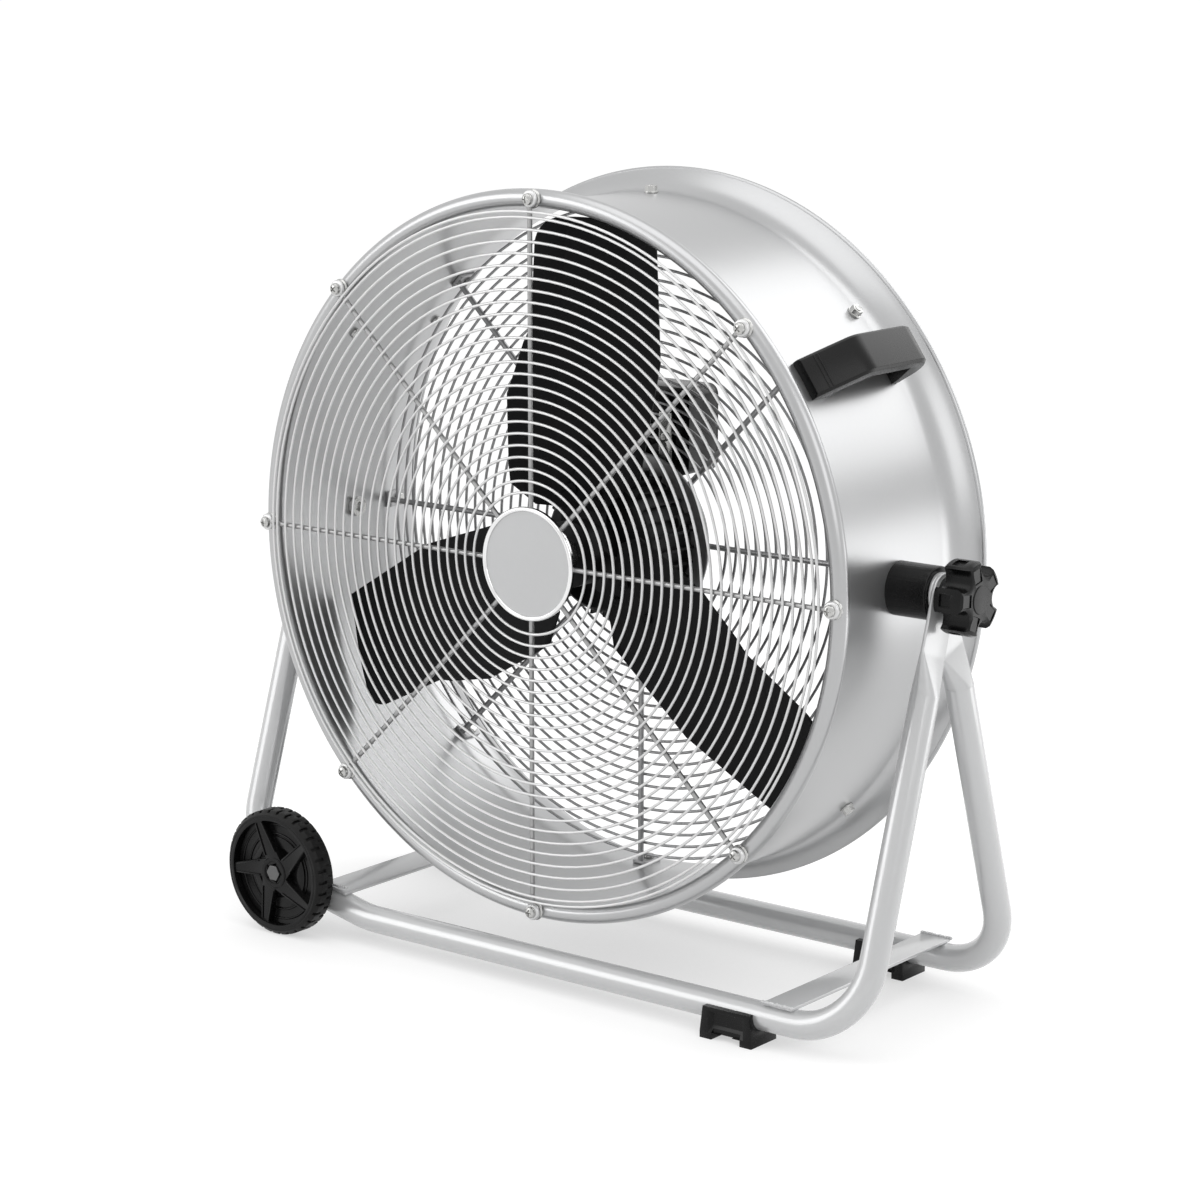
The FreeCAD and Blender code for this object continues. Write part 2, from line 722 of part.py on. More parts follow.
# Motor: finned cup, bosses for its bolts, rear cover, bearings, stator and windings.
motor = new_body("motor_housing")
seat_floor = "(motor_front - motor_front_wall - bearing_width)"
turn(motor, [
    ("shaft_radius + shaft_gap", "motor_front"),
    ("motor_radius - motor_wall", "motor_front"),
    ("motor_radius", "motor_front - motor_wall"),
    ("motor_radius", "-motor_plate_front"),
    ("motor_radius - motor_wall", "-motor_plate_front"),
    ("motor_radius - motor_wall", "motor_front - motor_front_wall"),
    ("bearing_outer + bearing_seat_wall", "motor_front - motor_front_wall"),
    ("bearing_outer + bearing_seat_wall", seat_floor),
    ("bearing_outer + fit_gap", seat_floor),
    ("bearing_outer + fit_gap", "motor_front - motor_front_wall"),
    ("shaft_radius + shaft_gap", "motor_front - motor_front_wall"),
])
on_fan_axis(motor)
fin = new_sketch(motor, "XY_Plane", "-(motor_plate_front - motor_fin_inset / 2)")
draw(fin, [
    ("motor_radius - sink", "-motor_fin_thick / 2"), ("motor_fin_radius", "-motor_fin_thick / 2"),
    ("motor_fin_radius", "motor_fin_thick / 2"), ("motor_radius - sink", "motor_fin_thick / 2"),
])
fin_length = "motor_plate_front + motor_front - motor_fin_inset * 2"
repeat(motor, feature(motor, "Pad", fin, Length=fin_length), "motor_fin_count")
doc.recompute()
boss = new_sketch(motor, "XY_Plane", "-motor_plate_front")
boss_x, boss_y = "motor_boss_circle * cos(motor_bolt_turn)", "motor_boss_circle * sin(motor_bolt_turn)"
ring(boss, boss_x, boss_y, "motor_boss_radius")
repeat(motor, feature(motor, "Pad", boss, Length="motor_boss_length"), "motor_bolt_count")
doc.recompute()
boss_hole = new_sketch(motor, "XY_Plane", "-motor_plate_front - cut_overrun")
ring(boss_hole, boss_x, boss_y, "motor_bolt_radius + fit_gap")
boss_cut = feature(motor, "Pocket", boss_hole, Length="motor_bolt_length + cut_overrun")
boss_cut.Reversed = True
repeat(motor, boss_cut, "motor_bolt_count")
doc.recompute()

motor_bolt = screw(s.motor_bolt_radius, s.motor_bolt_length, s.motor_bolt_head, s.motor_bolt_head_thick)
motor_bolts = around(motor_bolt, s.motor_boss_circle, plate_back, s.motor_bolt_count,
                     s.motor_bolt_turn, down)
solid("motor_bolts", Part.makeCompound(motor_bolts), fan_place())

cover = new_body("motor_rear_cover")
cover_face = "-(motor_plate_front + motor_plate_thick)"
cover_end = f"{cover_face} - rear_cover_depth"
rear_seat = f"{cover_end} + rear_cover_wall"
turn(cover, [
    ("0", cover_end),
    ("rear_cover_inner - rear_cover_wall", cover_end),
    ("rear_cover_inner", rear_seat),
    ("rear_cover_inner", f"{cover_face} - rear_cover_wall"),
    ("rear_cover_radius", f"{cover_face} - rear_cover_wall"),
    ("rear_cover_radius", cover_face),
    ("rear_cover_inner - rear_cover_wall", cover_face),
    ("rear_cover_inner - rear_cover_wall", rear_seat),
    ("bearing_outer + bearing_seat_wall", rear_seat),
    ("bearing_outer + bearing_seat_wall", f"{rear_seat} + bearing_width"),
    ("bearing_outer + fit_gap", f"{rear_seat} + bearing_width"),
    ("bearing_outer + fit_gap", rear_seat),
    ("0", rear_seat),
])
on_fan_axis(cover)
cover_hole = new_sketch(cover, "XY_Plane", f"{cover_face} + cut_overrun")
ring(cover_hole, "cover_screw_circle * cos(motor_bolt_turn)", "cover_screw_circle * sin(motor_bolt_turn)",
     "cover_screw_radius + fit_gap")
cover_cut = feature(cover, "Pocket", cover_hole, Length="rear_cover_wall + cut_overrun * 2")
repeat(cover, cover_cut, "motor_bolt_count")
doc.recompute()
cover_screw = screw(s.cover_screw_radius, s.rear_cover_wall + s.motor_plate_thick,
                    s.cover_screw_head, s.cover_screw_head_thick)
cover_screws = around(cover_screw, s.cover_screw_circle, plate_back - s.rear_cover_wall, s.motor_bolt_count,
                      s.motor_bolt_turn, down)
solid("cover_screws", Part.makeCompound(cover_screws), fan_place())

front_bearing_back = worth(seat_floor)
rear_bearing_back = worth(rear_seat)
for label, back in (("front_bearing", front_bearing_back), ("rear_bearing", rear_bearing_back)):
    race = rod(s.bearing_outer, back, back + s.bearing_width)
    solid(label, race.cut(rod(s.shaft_radius + s.running_gap, back, back + s.bearing_width)), fan_place())

stator_front = front_bearing_back - s.winding_length - s.motor_fin_inset / 2
stator_back = stator_front - s.stator_length
stator_outer = s.motor_radius - s.motor_wall - s.fit_gap
stator = rod(stator_outer, stator_back, stator_front).cut(rod(s.stator_inner, stator_back, stator_front))
solid("stator_core", stator, fan_place())
coil = rod(s.winding_outer, 0, s.winding_length).cut(rod(s.winding_inner, 0, s.winding_length))
coils = [moved(coil, FreeCAD.Placement(V(0, 0, level), FreeCAD.Rotation()))
         for level in (stator_front, stator_back - s.winding_length)]
solid("stator_windings", Part.makeCompound(coils), fan_place())

# Rotor: shaft, core, cast hub with three pitched arms, pressed blades and their rivets.
solid("motor_shaft", rod(s.shaft_radius, -s.shaft_rear, s.shaft_front), fan_place())
core = rod(s.stator_inner - s.air_gap, stator_back, stator_front)
solid("rotor_core", core.cut(rod(s.shaft_radius + s.fit_gap, stator_back, stator_front)), fan_place())

pitch = FreeCAD.Placement(V(0, 0, s.blade_plane), FreeCAD.Rotation(X_AXIS, s.blade_pitch))
arm = bar(s.hub_arm_start, s.hub_arm_reach, s.hub_arm_width, -s.hub_arm_thick, 0)
corners = [e for e in arm.Edges if abs(e.CenterOfMass.x - s.hub_arm_reach) < s.fit_gap
           and abs(abs(e.CenterOfMass.y) - s.hub_arm_width / 2) < s.fit_gap]
arm = arm.makeFillet(s.hub_arm_corner, corners)
rivet_spots = ((s.rivet_inner, s.rivet_offset), (s.rivet_inner, -s.rivet_offset), (s.rivet_outer, 0))
rivet_drill = rod(s.rivet_radius + s.fit_gap, -s.hub_arm_thick - s.cut_overrun, s.blade_sheet + s.cut_overrun)
rivet_drills = [moved(rivet_drill, FreeCAD.Placement(V(along, across, 0), FreeCAD.Rotation()))
                for along, across in rivet_spots]
arms = around(moved(arm.cut(rivet_drills), pitch), 0, 0, s.blade_count, s.blade_first_angle)
hub = rod(s.hub_boss, s.hub_rear, s.hub_front).multiFuse(arms)
solid("fan_hub", hub.cut(rod(s.shaft_radius + s.fit_gap, 0, s.shaft_front)), fan_place())


def blade_shape():
    """One pressed blade in its own frame: X along the blade, Y towards the trailing edge."""
    shares = BLADE_LEADING_SHARES + BLADE_TRAILING_SHARES
    points = [V(p * s.blade_tip, q * s.blade_half_width, -s.blade_half_width) for p, q in shares]
    outline = Part.Face(Part.makePolygon(points + points[:1])).extrude(V(0, 0, 2 * s.blade_half_width))
    outline = outline.common(rod(s.blade_tip, -s.blade_half_width, s.blade_half_width))
    tips = [e for e in outline.Edges if e.CenterOfMass.y > 0 and e.BoundBox.ZLength > s.blade_half_width
            and math.hypot(e.CenterOfMass.x, e.CenterOfMass.y) > s.blade_tip - s.sink]
    outline = outline.makeFillet(s.blade_corner, tips)
    front = [(q * s.blade_half_width, n * s.blade_camber) for q, n in BLADE_CREASE_SHARES]
    back = [(q, n + s.blade_sheet) for q, n in reversed(front)]
    profile = [V(0, q, n) for q, n in front + back]
    sheet_metal = Part.Face(Part.makePolygon(profile + profile[:1])).extrude(V(s.blade_tip, 0, 0))
    return moved(sheet_metal.common(outline).cut(rivet_drills), pitch)


blade = blade_shape()
for number in range(int(s.blade_count)):
    angle = s.blade_first_angle + number * FULL_TURN / s.blade_count
    solid(f"blade_{number + 1}", blade, fan_place(angle))
rivet = rod(s.rivet_head, s.blade_sheet, s.blade_sheet + s.rivet_head_thick)
rivet = rivet.fuse(rod(s.rivet_radius, -s.hub_arm_thick, s.blade_sheet))
rivet = rivet.fuse(rod(s.rivet_head, -s.hub_arm_thick - s.rivet_head_thick, -s.hub_arm_thick))
rivets = []
for along, across in rivet_spots:
    spot = FreeCAD.Placement(V(along, across, 0), FreeCAD.Rotation())
    rivets += around(moved(moved(rivet, spot), pitch), 0, 0, s.blade_count, s.blade_first_angle)
solid("blade_rivets", Part.makeCompound(rivets), fan_place())
hub_nut = hexagon(s.hub_nut_hex, s.hub_front, s.hub_front + s.hub_nut_thick)
solid("hub_nut", hub_nut.cut(rod(s.shaft_radius + s.fit_gap, 0, s.shaft_front)), fan_place())

# Control box behind the guard: shell, lid, switch, capacitor, gland, bush, clamps and dial.
box_front = rear_ring_back
box_shell = new_body("control_box")
box_level = str(box_front)
shell = new_sketch(box_shell, "XY_Plane", box_level)
draw(shell, oblong("box_width", "box_height", "box_corner", "0", "box_centre"))
feature(box_shell, "Pad", shell, Length="box_depth").Reversed = True
doc.recompute()
hollow = new_sketch(box_shell, "XY_Plane", f"{box_level} - box_depth - cut_overrun")
draw(hollow, oblong("box_width - box_wall * 2", "box_height - box_wall * 2", "box_corner - box_wall",
                    "0", "box_centre"))
feature(box_shell, "Pocket", hollow, Length="box_depth - box_wall + cut_overrun").Reversed = True
doc.recompute()
on_fan_axis(box_shell)
post_x = "(box_width / 2 - lid_screw_inset)"
post_y = "(box_height / 2 - lid_screw_inset)"
corner_signs = ((1, 1), (-1, 1), (-1, -1), (1, -1))
for across, up in corner_signs:
    post = new_sketch(box_shell, "XY_Plane", f"{box_level} - box_wall + sink")
    ring(post, f"{across} * {post_x}", f"box_centre + {up} * {post_y}", "lid_post_radius")
    feature(box_shell, "Pad", post, Length="box_depth - box_wall + sink").Reversed = True
    doc.recompute()
    bore = new_sketch(box_shell, "XY_Plane", f"{box_level} - box_depth - cut_overrun")
    ring(bore, f"{across} * {post_x}", f"box_centre + {up} * {post_y}", "lid_screw_radius + fit_gap")
    feature(box_shell, "Pocket", bore, Length="lid_thick * 3 + cut_overrun").Reversed = True
    doc.recompute()
gland_plane = "(box_depth / 2)"
gland_hole = new_sketch(box_shell, "YZ_Plane")
ring(gland_hole, "box_centre", f"{box_level} - {gland_plane}", "gland_thread + fit_gap")
feature(box_shell, "Pocket", gland_hole, Length="box_width")
doc.recompute()
for across in (1, -1):
    anchor = new_sketch(box_shell, "XY_Plane", f"{box_level} + cut_overrun")
    ring(anchor, f"{across} * clamp_offset", "box_centre - clamp_drop", "clamp_screw_radius + fit_gap")
    feature(box_shell, "Pocket", anchor, Length="box_wall + cut_overrun * 2")
    doc.recompute()

lid_back = box_front - s.box_depth - s.lid_thick
lid = new_body("control_box_lid")
lid_sketch = new_sketch(lid, "XY_Plane", f"{box_level} - box_depth")
draw(lid_sketch, oblong("box_width", "box_height", "box_corner", "0", "box_centre"))
ring(lid_sketch, "0", "box_centre", "dial_stem + running_gap")
for across, up in corner_signs:
    ring(lid_sketch, f"{across} * {post_x}", f"box_centre + {up} * {post_y}", "lid_screw_radius + fit_gap")
feature(lid, "Pad", lid_sketch, Length="lid_thick").Reversed = True
on_fan_axis(lid)
doc.recompute()

lid_screw = screw(s.lid_screw_radius, s.lid_thick * 3, s.lid_screw_head, s.lid_screw_head_thick)
lid_screws = []
for across, up in corner_signs:
    spot = V(across * worth(post_x), s.box_centre + up * worth(post_y), lid_back)
    lid_screws.append(moved(lid_screw, FreeCAD.Placement(spot, down)))
solid("lid_screws", Part.makeCompound(lid_screws), fan_place())

switch_front = lid_back + s.lid_thick + s.switch_depth
switch = Part.makeBox(s.switch_width, s.switch_width, s.switch_depth,
                      V(-s.switch_width / 2, s.box_centre - s.switch_width / 2,
                         switch_front - s.switch_depth))
stem_hole = rod(s.dial_stem + s.running_gap, lid_back, lid_back + s.dial_stem_length + s.seat_gap)
stem_hole.translate(V(0, s.box_centre, 0))
solid("speed_switch", switch.cut(stem_hole), fan_place())
can_level = box_front - s.box_wall - s.capacitor_radius - s.fit_gap
can = moved(rod(s.capacitor_radius, -s.capacitor_length / 2, s.capacitor_length / 2),
            FreeCAD.Placement(V(0, s.box_centre - s.capacitor_drop, can_level), outward))
solid("run_capacitor", can, fan_place())

gland_level = box_front - worth(gland_plane)
gland = hexagon(s.gland_radius, 0, s.gland_length / 2)
gland = gland.fuse([rod(s.gland_radius - s.box_wall, 0, s.gland_length),
                    rod(s.gland_thread, -s.box_wall * 2, 0)])
gland = gland.cut(rod(s.gland_bore, -s.box_wall * 3, s.gland_length + s.cut_overrun))
gland_place = FreeCAD.Placement(V(-s.box_width / 2, s.box_centre, gland_level), inward)
solid("cable_gland", moved(gland, gland_place), fan_place())

bush_level = box_front - s.box_wall * 3
box_low = s.box_centre - s.box_height / 2
upright = FreeCAD.Rotation(X_AXIS, -QUARTER_TURN)
bush = rod(s.lead_bush_radius, s.rear_cover_inner / 2, box_low - s.fit_gap)
bush = bush.cut(rod(s.lead_bush_bore, 0, box_low))
bush = moved(bush, FreeCAD.Placement(V(0, 0, bush_level), upright))
bush = bush.cut(rod(s.rear_cover_inner + s.fit_gap, lid_back, plate_front))
solid("lead_bush", bush, fan_place())

clamp_back = rear_ring_back + s.ring_wire
clamp_level = s.box_centre - s.clamp_drop
clamps = []
clamp_screws = []
clamp_screw = screw(s.clamp_screw_radius, s.clamp_screw_length, s.clamp_screw_head, s.clamp_screw_head_thick)
for across in (s.clamp_offset, -s.clamp_offset):
    clamp = Part.makeBox(s.clamp_width, s.clamp_height, s.clamp_thick,
                         V(across - s.clamp_width / 2, clamp_level - s.clamp_height / 2, clamp_back))
    clamp_drill = rod(s.clamp_screw_radius + s.fit_gap, clamp_back - s.cut_overrun, 0)
    clamp_drill.translate(V(across, clamp_level, 0))
    clamps.append(clamp.cut(clamp_drill))
    spot = FreeCAD.Placement(V(across, clamp_level, clamp_back + s.clamp_thick), FreeCAD.Rotation())
    clamp_screws.append(moved(clamp_screw, spot))
solid("box_clamps", Part.makeCompound(clamps), fan_place())
solid("clamp_screws", Part.makeCompound(clamp_screws), fan_place())

dial = new_body("speed_dial")
skirt = new_sketch(dial, "XY_Plane")
ring(skirt, "0", "0", "dial_radius")
feature(dial, "Pad", skirt, Length="dial_skirt")
grip = new_sketch(dial, "XY_Plane")
draw(grip, oblong("dial_grip_length", "dial_grip", "dial_grip_corner"))
feature(dial, "Pad", grip, Length="dial_thick")
doc.recompute()
stem = new_sketch(dial, "XY_Plane")
ring(stem, "0", "0", "dial_stem")
feature(dial, "Pad", stem, Length="dial_stem_length").Reversed = True
dial_spin = FreeCAD.Rotation(X_AXIS, -QUARTER_TURN) * FreeCAD.Rotation(Z_AXIS, s.dial_turn)
dial.Placement = FreeCAD.Placement(V(0, -(lid_back - s.seat_gap), s.pivot_height + s.box_centre), dial_spin)
bind(dial, Placement__Base__z="pivot_height + box_centre")
doc.recompute()


def handle(label, angle, ahead):
    """Moulded strap handle on the drum wall; its sloped end points forward where ahead is 1."""
    body = new_body(label)
    profile = new_sketch(body, "XZ_Plane")
    draw(profile, [
        ("-handle_rear_base", "0"), ("handle_rear_foot - handle_rear_base", "0"),
        ("handle_rear_foot - handle_rear_base", "handle_heel"),
        ("handle_rear_foot - handle_rear_base + handle_heel", "handle_height - handle_grip"),
        ("handle_shoulder - handle_grip", "handle_height - handle_grip"),
        ("handle_front - handle_front_foot", "handle_heel"),
        ("handle_front - handle_front_foot", "0"), ("handle_front", "0"), ("handle_front", "handle_heel"),
        ("handle_shoulder", "handle_height"),
        ("-handle_rear", "handle_height"),
    ])
    strap = feature(body, "Pad", profile, Length="handle_width")
    strap.SideType = "Symmetric"
    doc.recompute()
    knee = strap
    for x, size in ((s.handle_shoulder, "handle_bend"), (-s.handle_rear, "handle_corner")):
        corner = V(x, 0, s.handle_height)
        bends = [f"Edge{number}" for number, e in enumerate(knee.Shape.Edges, 1)
                 if e.CenterOfMass.distanceToPoint(corner) < s.fit_gap]
        rounded = body.newObject("PartDesign::Fillet", f"{label}_{size}")
        rounded.Base = (knee, bends)
        bind(rounded, Radius=size)
        body.Tip = rounded
        doc.recompute()
        knee = rounded
    edge = body.newObject("PartDesign::Chamfer", f"{label}_edge")
    outer = []
    for number, e in enumerate(knee.Shape.Edges, 1):
        flat = all(abs(abs(v.Point.y) - s.handle_width / 2) < s.fit_gap for v in e.Vertexes)
        along = abs(e.CenterOfMass.y) > s.handle_width / 2 - s.fit_gap
        if flat and along and e.BoundBox.ZMax > s.handle_height - s.fit_gap:
            outer.append(f"Edge{number}")
    edge.Base = (knee, outer)
    bind(edge, Size="handle_chamfer")
    body.Tip = edge
    doc.recompute()
    for plane in handle_planes:
        pilot = new_sketch(body, "XY_Plane", "-cut_overrun")
        ring(pilot, plane, "0", "handle_screw_radius + fit_gap")
        feature(body, "Pocket", pilot, Length="handle_screw_length + cut_overrun").Reversed = True
        doc.recompute()
    turned = math.radians(angle)
    radial = V(math.cos(turned), 0, math.sin(turned))
    across = V(math.sin(turned), 0, -math.cos(turned))
    base = radial * (s.drum_bore + s.drum_wall + s.fit_gap) + V(0, 0, s.pivot_height)
    body.Placement = FreeCAD.Placement(base, FreeCAD.Rotation(Y_AXIS * -ahead, across * ahead, radial, "ZXY"))


handle_screw = screw(s.handle_screw_radius, s.handle_screw_length, s.handle_screw_head,
                     s.handle_screw_head_thick)
handle_screws = []
for label, (angle, ahead) in zip(("right_handle", "left_handle"), handle_sides):
    handle(label, angle, ahead)
    for plane in handle_planes:
        spin = FreeCAD.Rotation(Z_AXIS, angle)
        spot = spin.multVec(V(s.drum_bore - s.seat_gap, 0, ahead * worth(plane)))
        handle_screws.append(moved(handle_screw, FreeCAD.Placement(spot, spin * inward)))
solid("handle_screws", Part.makeCompound(handle_screws), fan_place())

# Tilt pivots: bolt, saddle spacer and clamp knob on each side of the drum.
drum_outer = s.drum_bore + s.drum_wall
plate_inner = s.leg_offset - s.tube_radius
plate_outer = plate_inner + s.plate_thick * 2 + s.fit_gap
bolt_head = rod(s.pivot_head, -s.pivot_head_thick, 0)
socket = hexagon(s.pivot_socket, -s.pivot_head_thick, s.pivot_socket_depth - s.pivot_head_thick)
bolt_head = bolt_head.cut(socket)
bolt = bolt_head.fuse(rod(s.pivot_bolt, 0, s.pivot_reach - s.drum_bore))
bolt.translate(V(0, 0, s.drum_bore - s.seat_gap * 2))
bolts = [moved(bolt, side_place(side)) for side in (1, -1)]
solid("pivot_bolts", Part.makeCompound(bolts), FreeCAD.Placement())
saddle = moved(rod(drum_outer + s.fit_gap, -s.drum_half_depth, s.drum_half_depth),
               FreeCAD.Placement(ORIGIN, FreeCAD.Rotation(X_AXIS, QUARTER_TURN)))
spacer = rod(s.spacer_radius, s.drum_bore - s.drum_wall, plate_inner - s.seat_gap)
spacer = spacer.cut([saddle, rod(s.pivot_bolt + s.fit_gap, 0, plate_inner)])
spacers = [moved(spacer, side_place(side)) for side in (1, -1)]
solid("pivot_spacers", Part.makeCompound(spacers), FreeCAD.Placement())
knob_back = plate_outer + s.seat_gap + s.clamp_washer_thick
clamp_washer = rod(s.clamp_washer_radius, plate_outer + s.seat_gap / 2, knob_back)
clamp_washer = clamp_washer.cut(rod(s.pivot_bolt + s.fit_gap, plate_outer, knob_back))
clamp_washers = [moved(clamp_washer, side_place(side)) for side in (1, -1)]
solid("clamp_washers", Part.makeCompound(clamp_washers), FreeCAD.Placement())


def knob(label, side):
    """Five-lobed clamp knob with bevelled lobes, turning on the pivot bolt."""
    body = new_body(label)
    seat = f"({knob_back + s.seat_gap / 2})"
    lobe_back = "(knob_face - knob_depth)"
    lobe_edge = "(knob_face - knob_core_step - knob_bevel)"
    turn(body, [
        ("0", seat), ("knob_neck", seat), ("knob_neck", lobe_back), ("knob_core", lobe_back),
        ("knob_core", "knob_face - knob_bevel"), ("knob_core - knob_bevel", "knob_face"), ("0", "knob_face"),
    ])
    doc.recompute()
    flat = "(knob_lobe_half - knob_lobe_corner)"
    layers = ((lobe_back, f"{lobe_edge} - {lobe_back}", 0), (lobe_edge, "knob_bevel", -HALF_TURN / 4))
    for level, length, taper in layers:
        lobe = new_sketch(body, "XY_Plane", level)
        draw(lobe, [
            ("knob_core / 2", "-knob_lobe_half"),
            ("knob_reach - knob_lobe_corner", "-knob_lobe_half", "knob_lobe_corner", 1, False),
            ("knob_reach", f"-{flat}"),
            ("knob_reach", flat, "knob_lobe_corner", 1, False),
            ("knob_reach - knob_lobe_corner", "knob_lobe_half"),
            ("knob_core / 2", "knob_lobe_half"),
        ])
        lobes = feature(body, "Pad", lobe, Length=length)
        lobes.TaperAngle = taper
        repeat(body, lobes, "knob_lobes")
        doc.recompute()
    window = new_sketch(body, "YZ_Plane", "knob_reach + cut_overrun")
    draw(window, oblong("knob_window", "knob_window", "knob_window_corner", "0",
                        f"({lobe_back} + {lobe_edge}) / 2"))
    recess = feature(body, "Pocket", window, Length="knob_window_depth + cut_overrun")
    repeat(body, recess, "knob_lobes")
    doc.recompute()
    groove = new_sketch(body, "XY_Plane", "knob_face + cut_overrun")
    ring(groove, "0", "0", "knob_ring")
    ring(groove, "0", "0", "knob_ring - knob_ring_width")
    feature(body, "Pocket", groove, Length="cut_overrun + knob_ring_depth")
    doc.recompute()
    bore = new_sketch(body, "XY_Plane", f"{seat} - cut_overrun")
    ring(bore, "0", "0", "pivot_bolt + running_gap")
    feature(body, "Pocket", bore, Length="knob_bore_depth + cut_overrun").Reversed = True
    body.Placement = side_place(side, s.knob_turn)
    bind(body, Placement__Base__z="pivot_height")
    doc.recompute()


knob("right_clamp_knob", 1)
knob("left_clamp_knob", -1)

# Stand: two leaning tubes, each bent once on the right and twice on the left.
lean = math.degrees(math.atan2(s.tube_spread, s.pivot_height - s.tube_floor))
lean_cos = math.cos(math.radians(lean))
lean_sin = math.sin(math.radians(lean))
leg_length = math.hypot(s.tube_spread, s.pivot_height - s.tube_floor)
stub_length = (s.plate_blend + s.tube_radius) / lean_cos
stub_low = leg_length - s.plate_drop / lean_cos - s.plate_blend / lean_cos - s.tube_radius / 2


def tube_place(front):
    """Placement of a frame tube: own Y runs up its lean, own X to the right."""
    sign = -1 if front else 1
    return FreeCAD.Placement(V(0, sign * s.tube_spread, s.tube_floor),
                             FreeCAD.Rotation(X_AXIS, QUARTER_TURN + sign * lean))


def tube_path():
    """Centre line from the left leg round the floor run to the right leg."""
    rise = (s.leg_offset - s.kink_offset) * math.tan(math.radians(s.kink_angle))
    corners = [V(-s.leg_offset, stub_low, 0), V(-s.leg_offset, rise, 0), V(-s.kink_offset, 0, 0),
               V(s.leg_offset, 0, 0), V(s.leg_offset, stub_low, 0)]
    bends = [s.leg_bend, s.kink_bend, s.leg_bend]
    edges = []
    start = corners[0]
    for before, corner, after, radius in zip(corners, corners[1:], corners[2:], bends):
        back = (before - corner).normalize()
        ahead = (after - corner).normalize()
        half = back.getAngle(ahead) / 2
        entry = corner + back * (radius / math.tan(half))
        leave = corner + ahead * (radius / math.tan(half))
        inside = (back + ahead).normalize()
        middle = corner + inside * (radius / math.sin(half) - radius)
        edges.append(Part.LineSegment(start, entry).toShape())
        edges.append(Part.Arc(entry, middle, leave).toShape())
        start = leave
    edges.append(Part.LineSegment(start, corners[-1]).toShape())
    return Part.Wire(edges)


def swept(radius):
    """Round bar of a radius along the tube path."""
    path = tube_path()
    profile = Part.Wire(Part.Circle(path.Edges[0].Vertexes[0].Point, Y_AXIS, radius).toShape())
    return path.makePipeShell([profile], True, False)


def pressed_end(place, layer):
    """Right leg end of a tube: round stub sloped down to an upright rounded plate with its hole."""
    near = plate_inner + layer
    far = near + s.plate_thick
    stub = Part.makeCylinder(s.tube_radius, stub_length, V(s.leg_offset, stub_low, 0), Y_AXIS)
    pivot = V(0, 0, s.pivot_height)
    slopes = [(far, s.leg_offset + s.tube_radius, s.cut_overrun)]
    if layer:
        slopes.append((near, plate_inner, -s.cut_overrun))
    cuts = []
    for flat, edge, beyond in slopes:
        tip = -s.plate_drop - s.plate_blend
        side = [(flat, -s.plate_drop), (edge, tip), (edge + beyond, tip), (edge + beyond, 0), (flat, 0)]
        corners = [pivot + V(x, -s.tube_spread, z) for x, z in side]
        cuts.append(Part.Face(Part.makePolygon(corners + corners[:1])).extrude(V(0, s.tube_spread * 2, 0)))
    wide = s.plate_half_width
    tongue = Part.makeBox(s.plate_thick, wide * 2, s.plate_drop, pivot + V(near, -wide, -s.plate_drop))
    crown = Part.makeCylinder(wide, s.plate_thick, pivot + V(near, 0, 0), X_AXIS)
    eye = Part.makeCylinder(s.pivot_bolt + s.running_gap, s.leg_offset * 2, pivot, X_AXIS)
    end = moved(stub, place).cut(cuts).fuse([tongue, crown]).cut(eye)
    return moved(end, place.inverse())


frame_bar = swept(s.tube_radius)
frame_tube = frame_bar.cut(swept(s.tube_radius - s.tube_wall))
foot_drill = rod(s.foot_screw_radius + s.fit_gap, 0, s.tube_floor)
outer_layer = s.plate_thick + s.fit_gap
for label, front, layer in (("front_frame_tube", True, outer_layer), ("rear_frame_tube", False, 0)):
    place = tube_place(front)
    end = pressed_end(place, layer)
    other = end.mirror(ORIGIN, X_AXIS)
    under = FreeCAD.Placement(V(s.foot_centre, place.Base.y, 0), FreeCAD.Rotation())
    drill = moved(foot_drill, place.inverse().multiply(under))
    solid(label, frame_tube.fuse([end, other]).cut(drill), place)

# Flat strips tie the two tubes together at both ends of the floor run.
strip_length = (s.tube_spread + s.strip_overhang) * 2
strip = Part.makeBox(s.strip_width, strip_length, s.strip_thick, V(-s.strip_width / 2, -strip_length / 2, 0))
strip_place = FreeCAD.Placement(V(s.foot_strip_centre, 0, s.tube_floor + s.tube_radius + s.fit_gap),
                                FreeCAD.Rotation())
solid("foot_cross_strip", strip, strip_place)
kink_slope = math.tan(math.radians(s.kink_angle))
kink_rise = kink_slope * lean_cos
strip_slope = math.degrees(math.atan(kink_rise))


def run_height(reach):
    """Height of the raised tube run's centre line at a distance left of the middle."""
    return s.tube_floor + (reach - s.kink_offset) * kink_rise


def run_spread(reach):
    """Distance of the raised tube run's centre line from the middle plane."""
    return s.tube_spread - (reach - s.kink_offset) * kink_slope * lean_sin


slope_turn = FreeCAD.Rotation(Y_AXIS, strip_slope)
on_top = slope_turn.multVec(V(0, 0, s.tube_radius + s.fit_gap))
short_length = (run_spread(s.wheel_strip_centre) + s.strip_overhang) * 2
short_strip = Part.makeBox(s.strip_width, short_length, s.strip_thick)
short_strip.translate(V(-s.strip_width / 2, -short_length / 2, 0))
under_strip = V(-s.wheel_strip_centre, 0, run_height(s.wheel_strip_centre))
solid("wheel_cross_strip", short_strip, FreeCAD.Placement(under_strip + on_top, slope_turn))


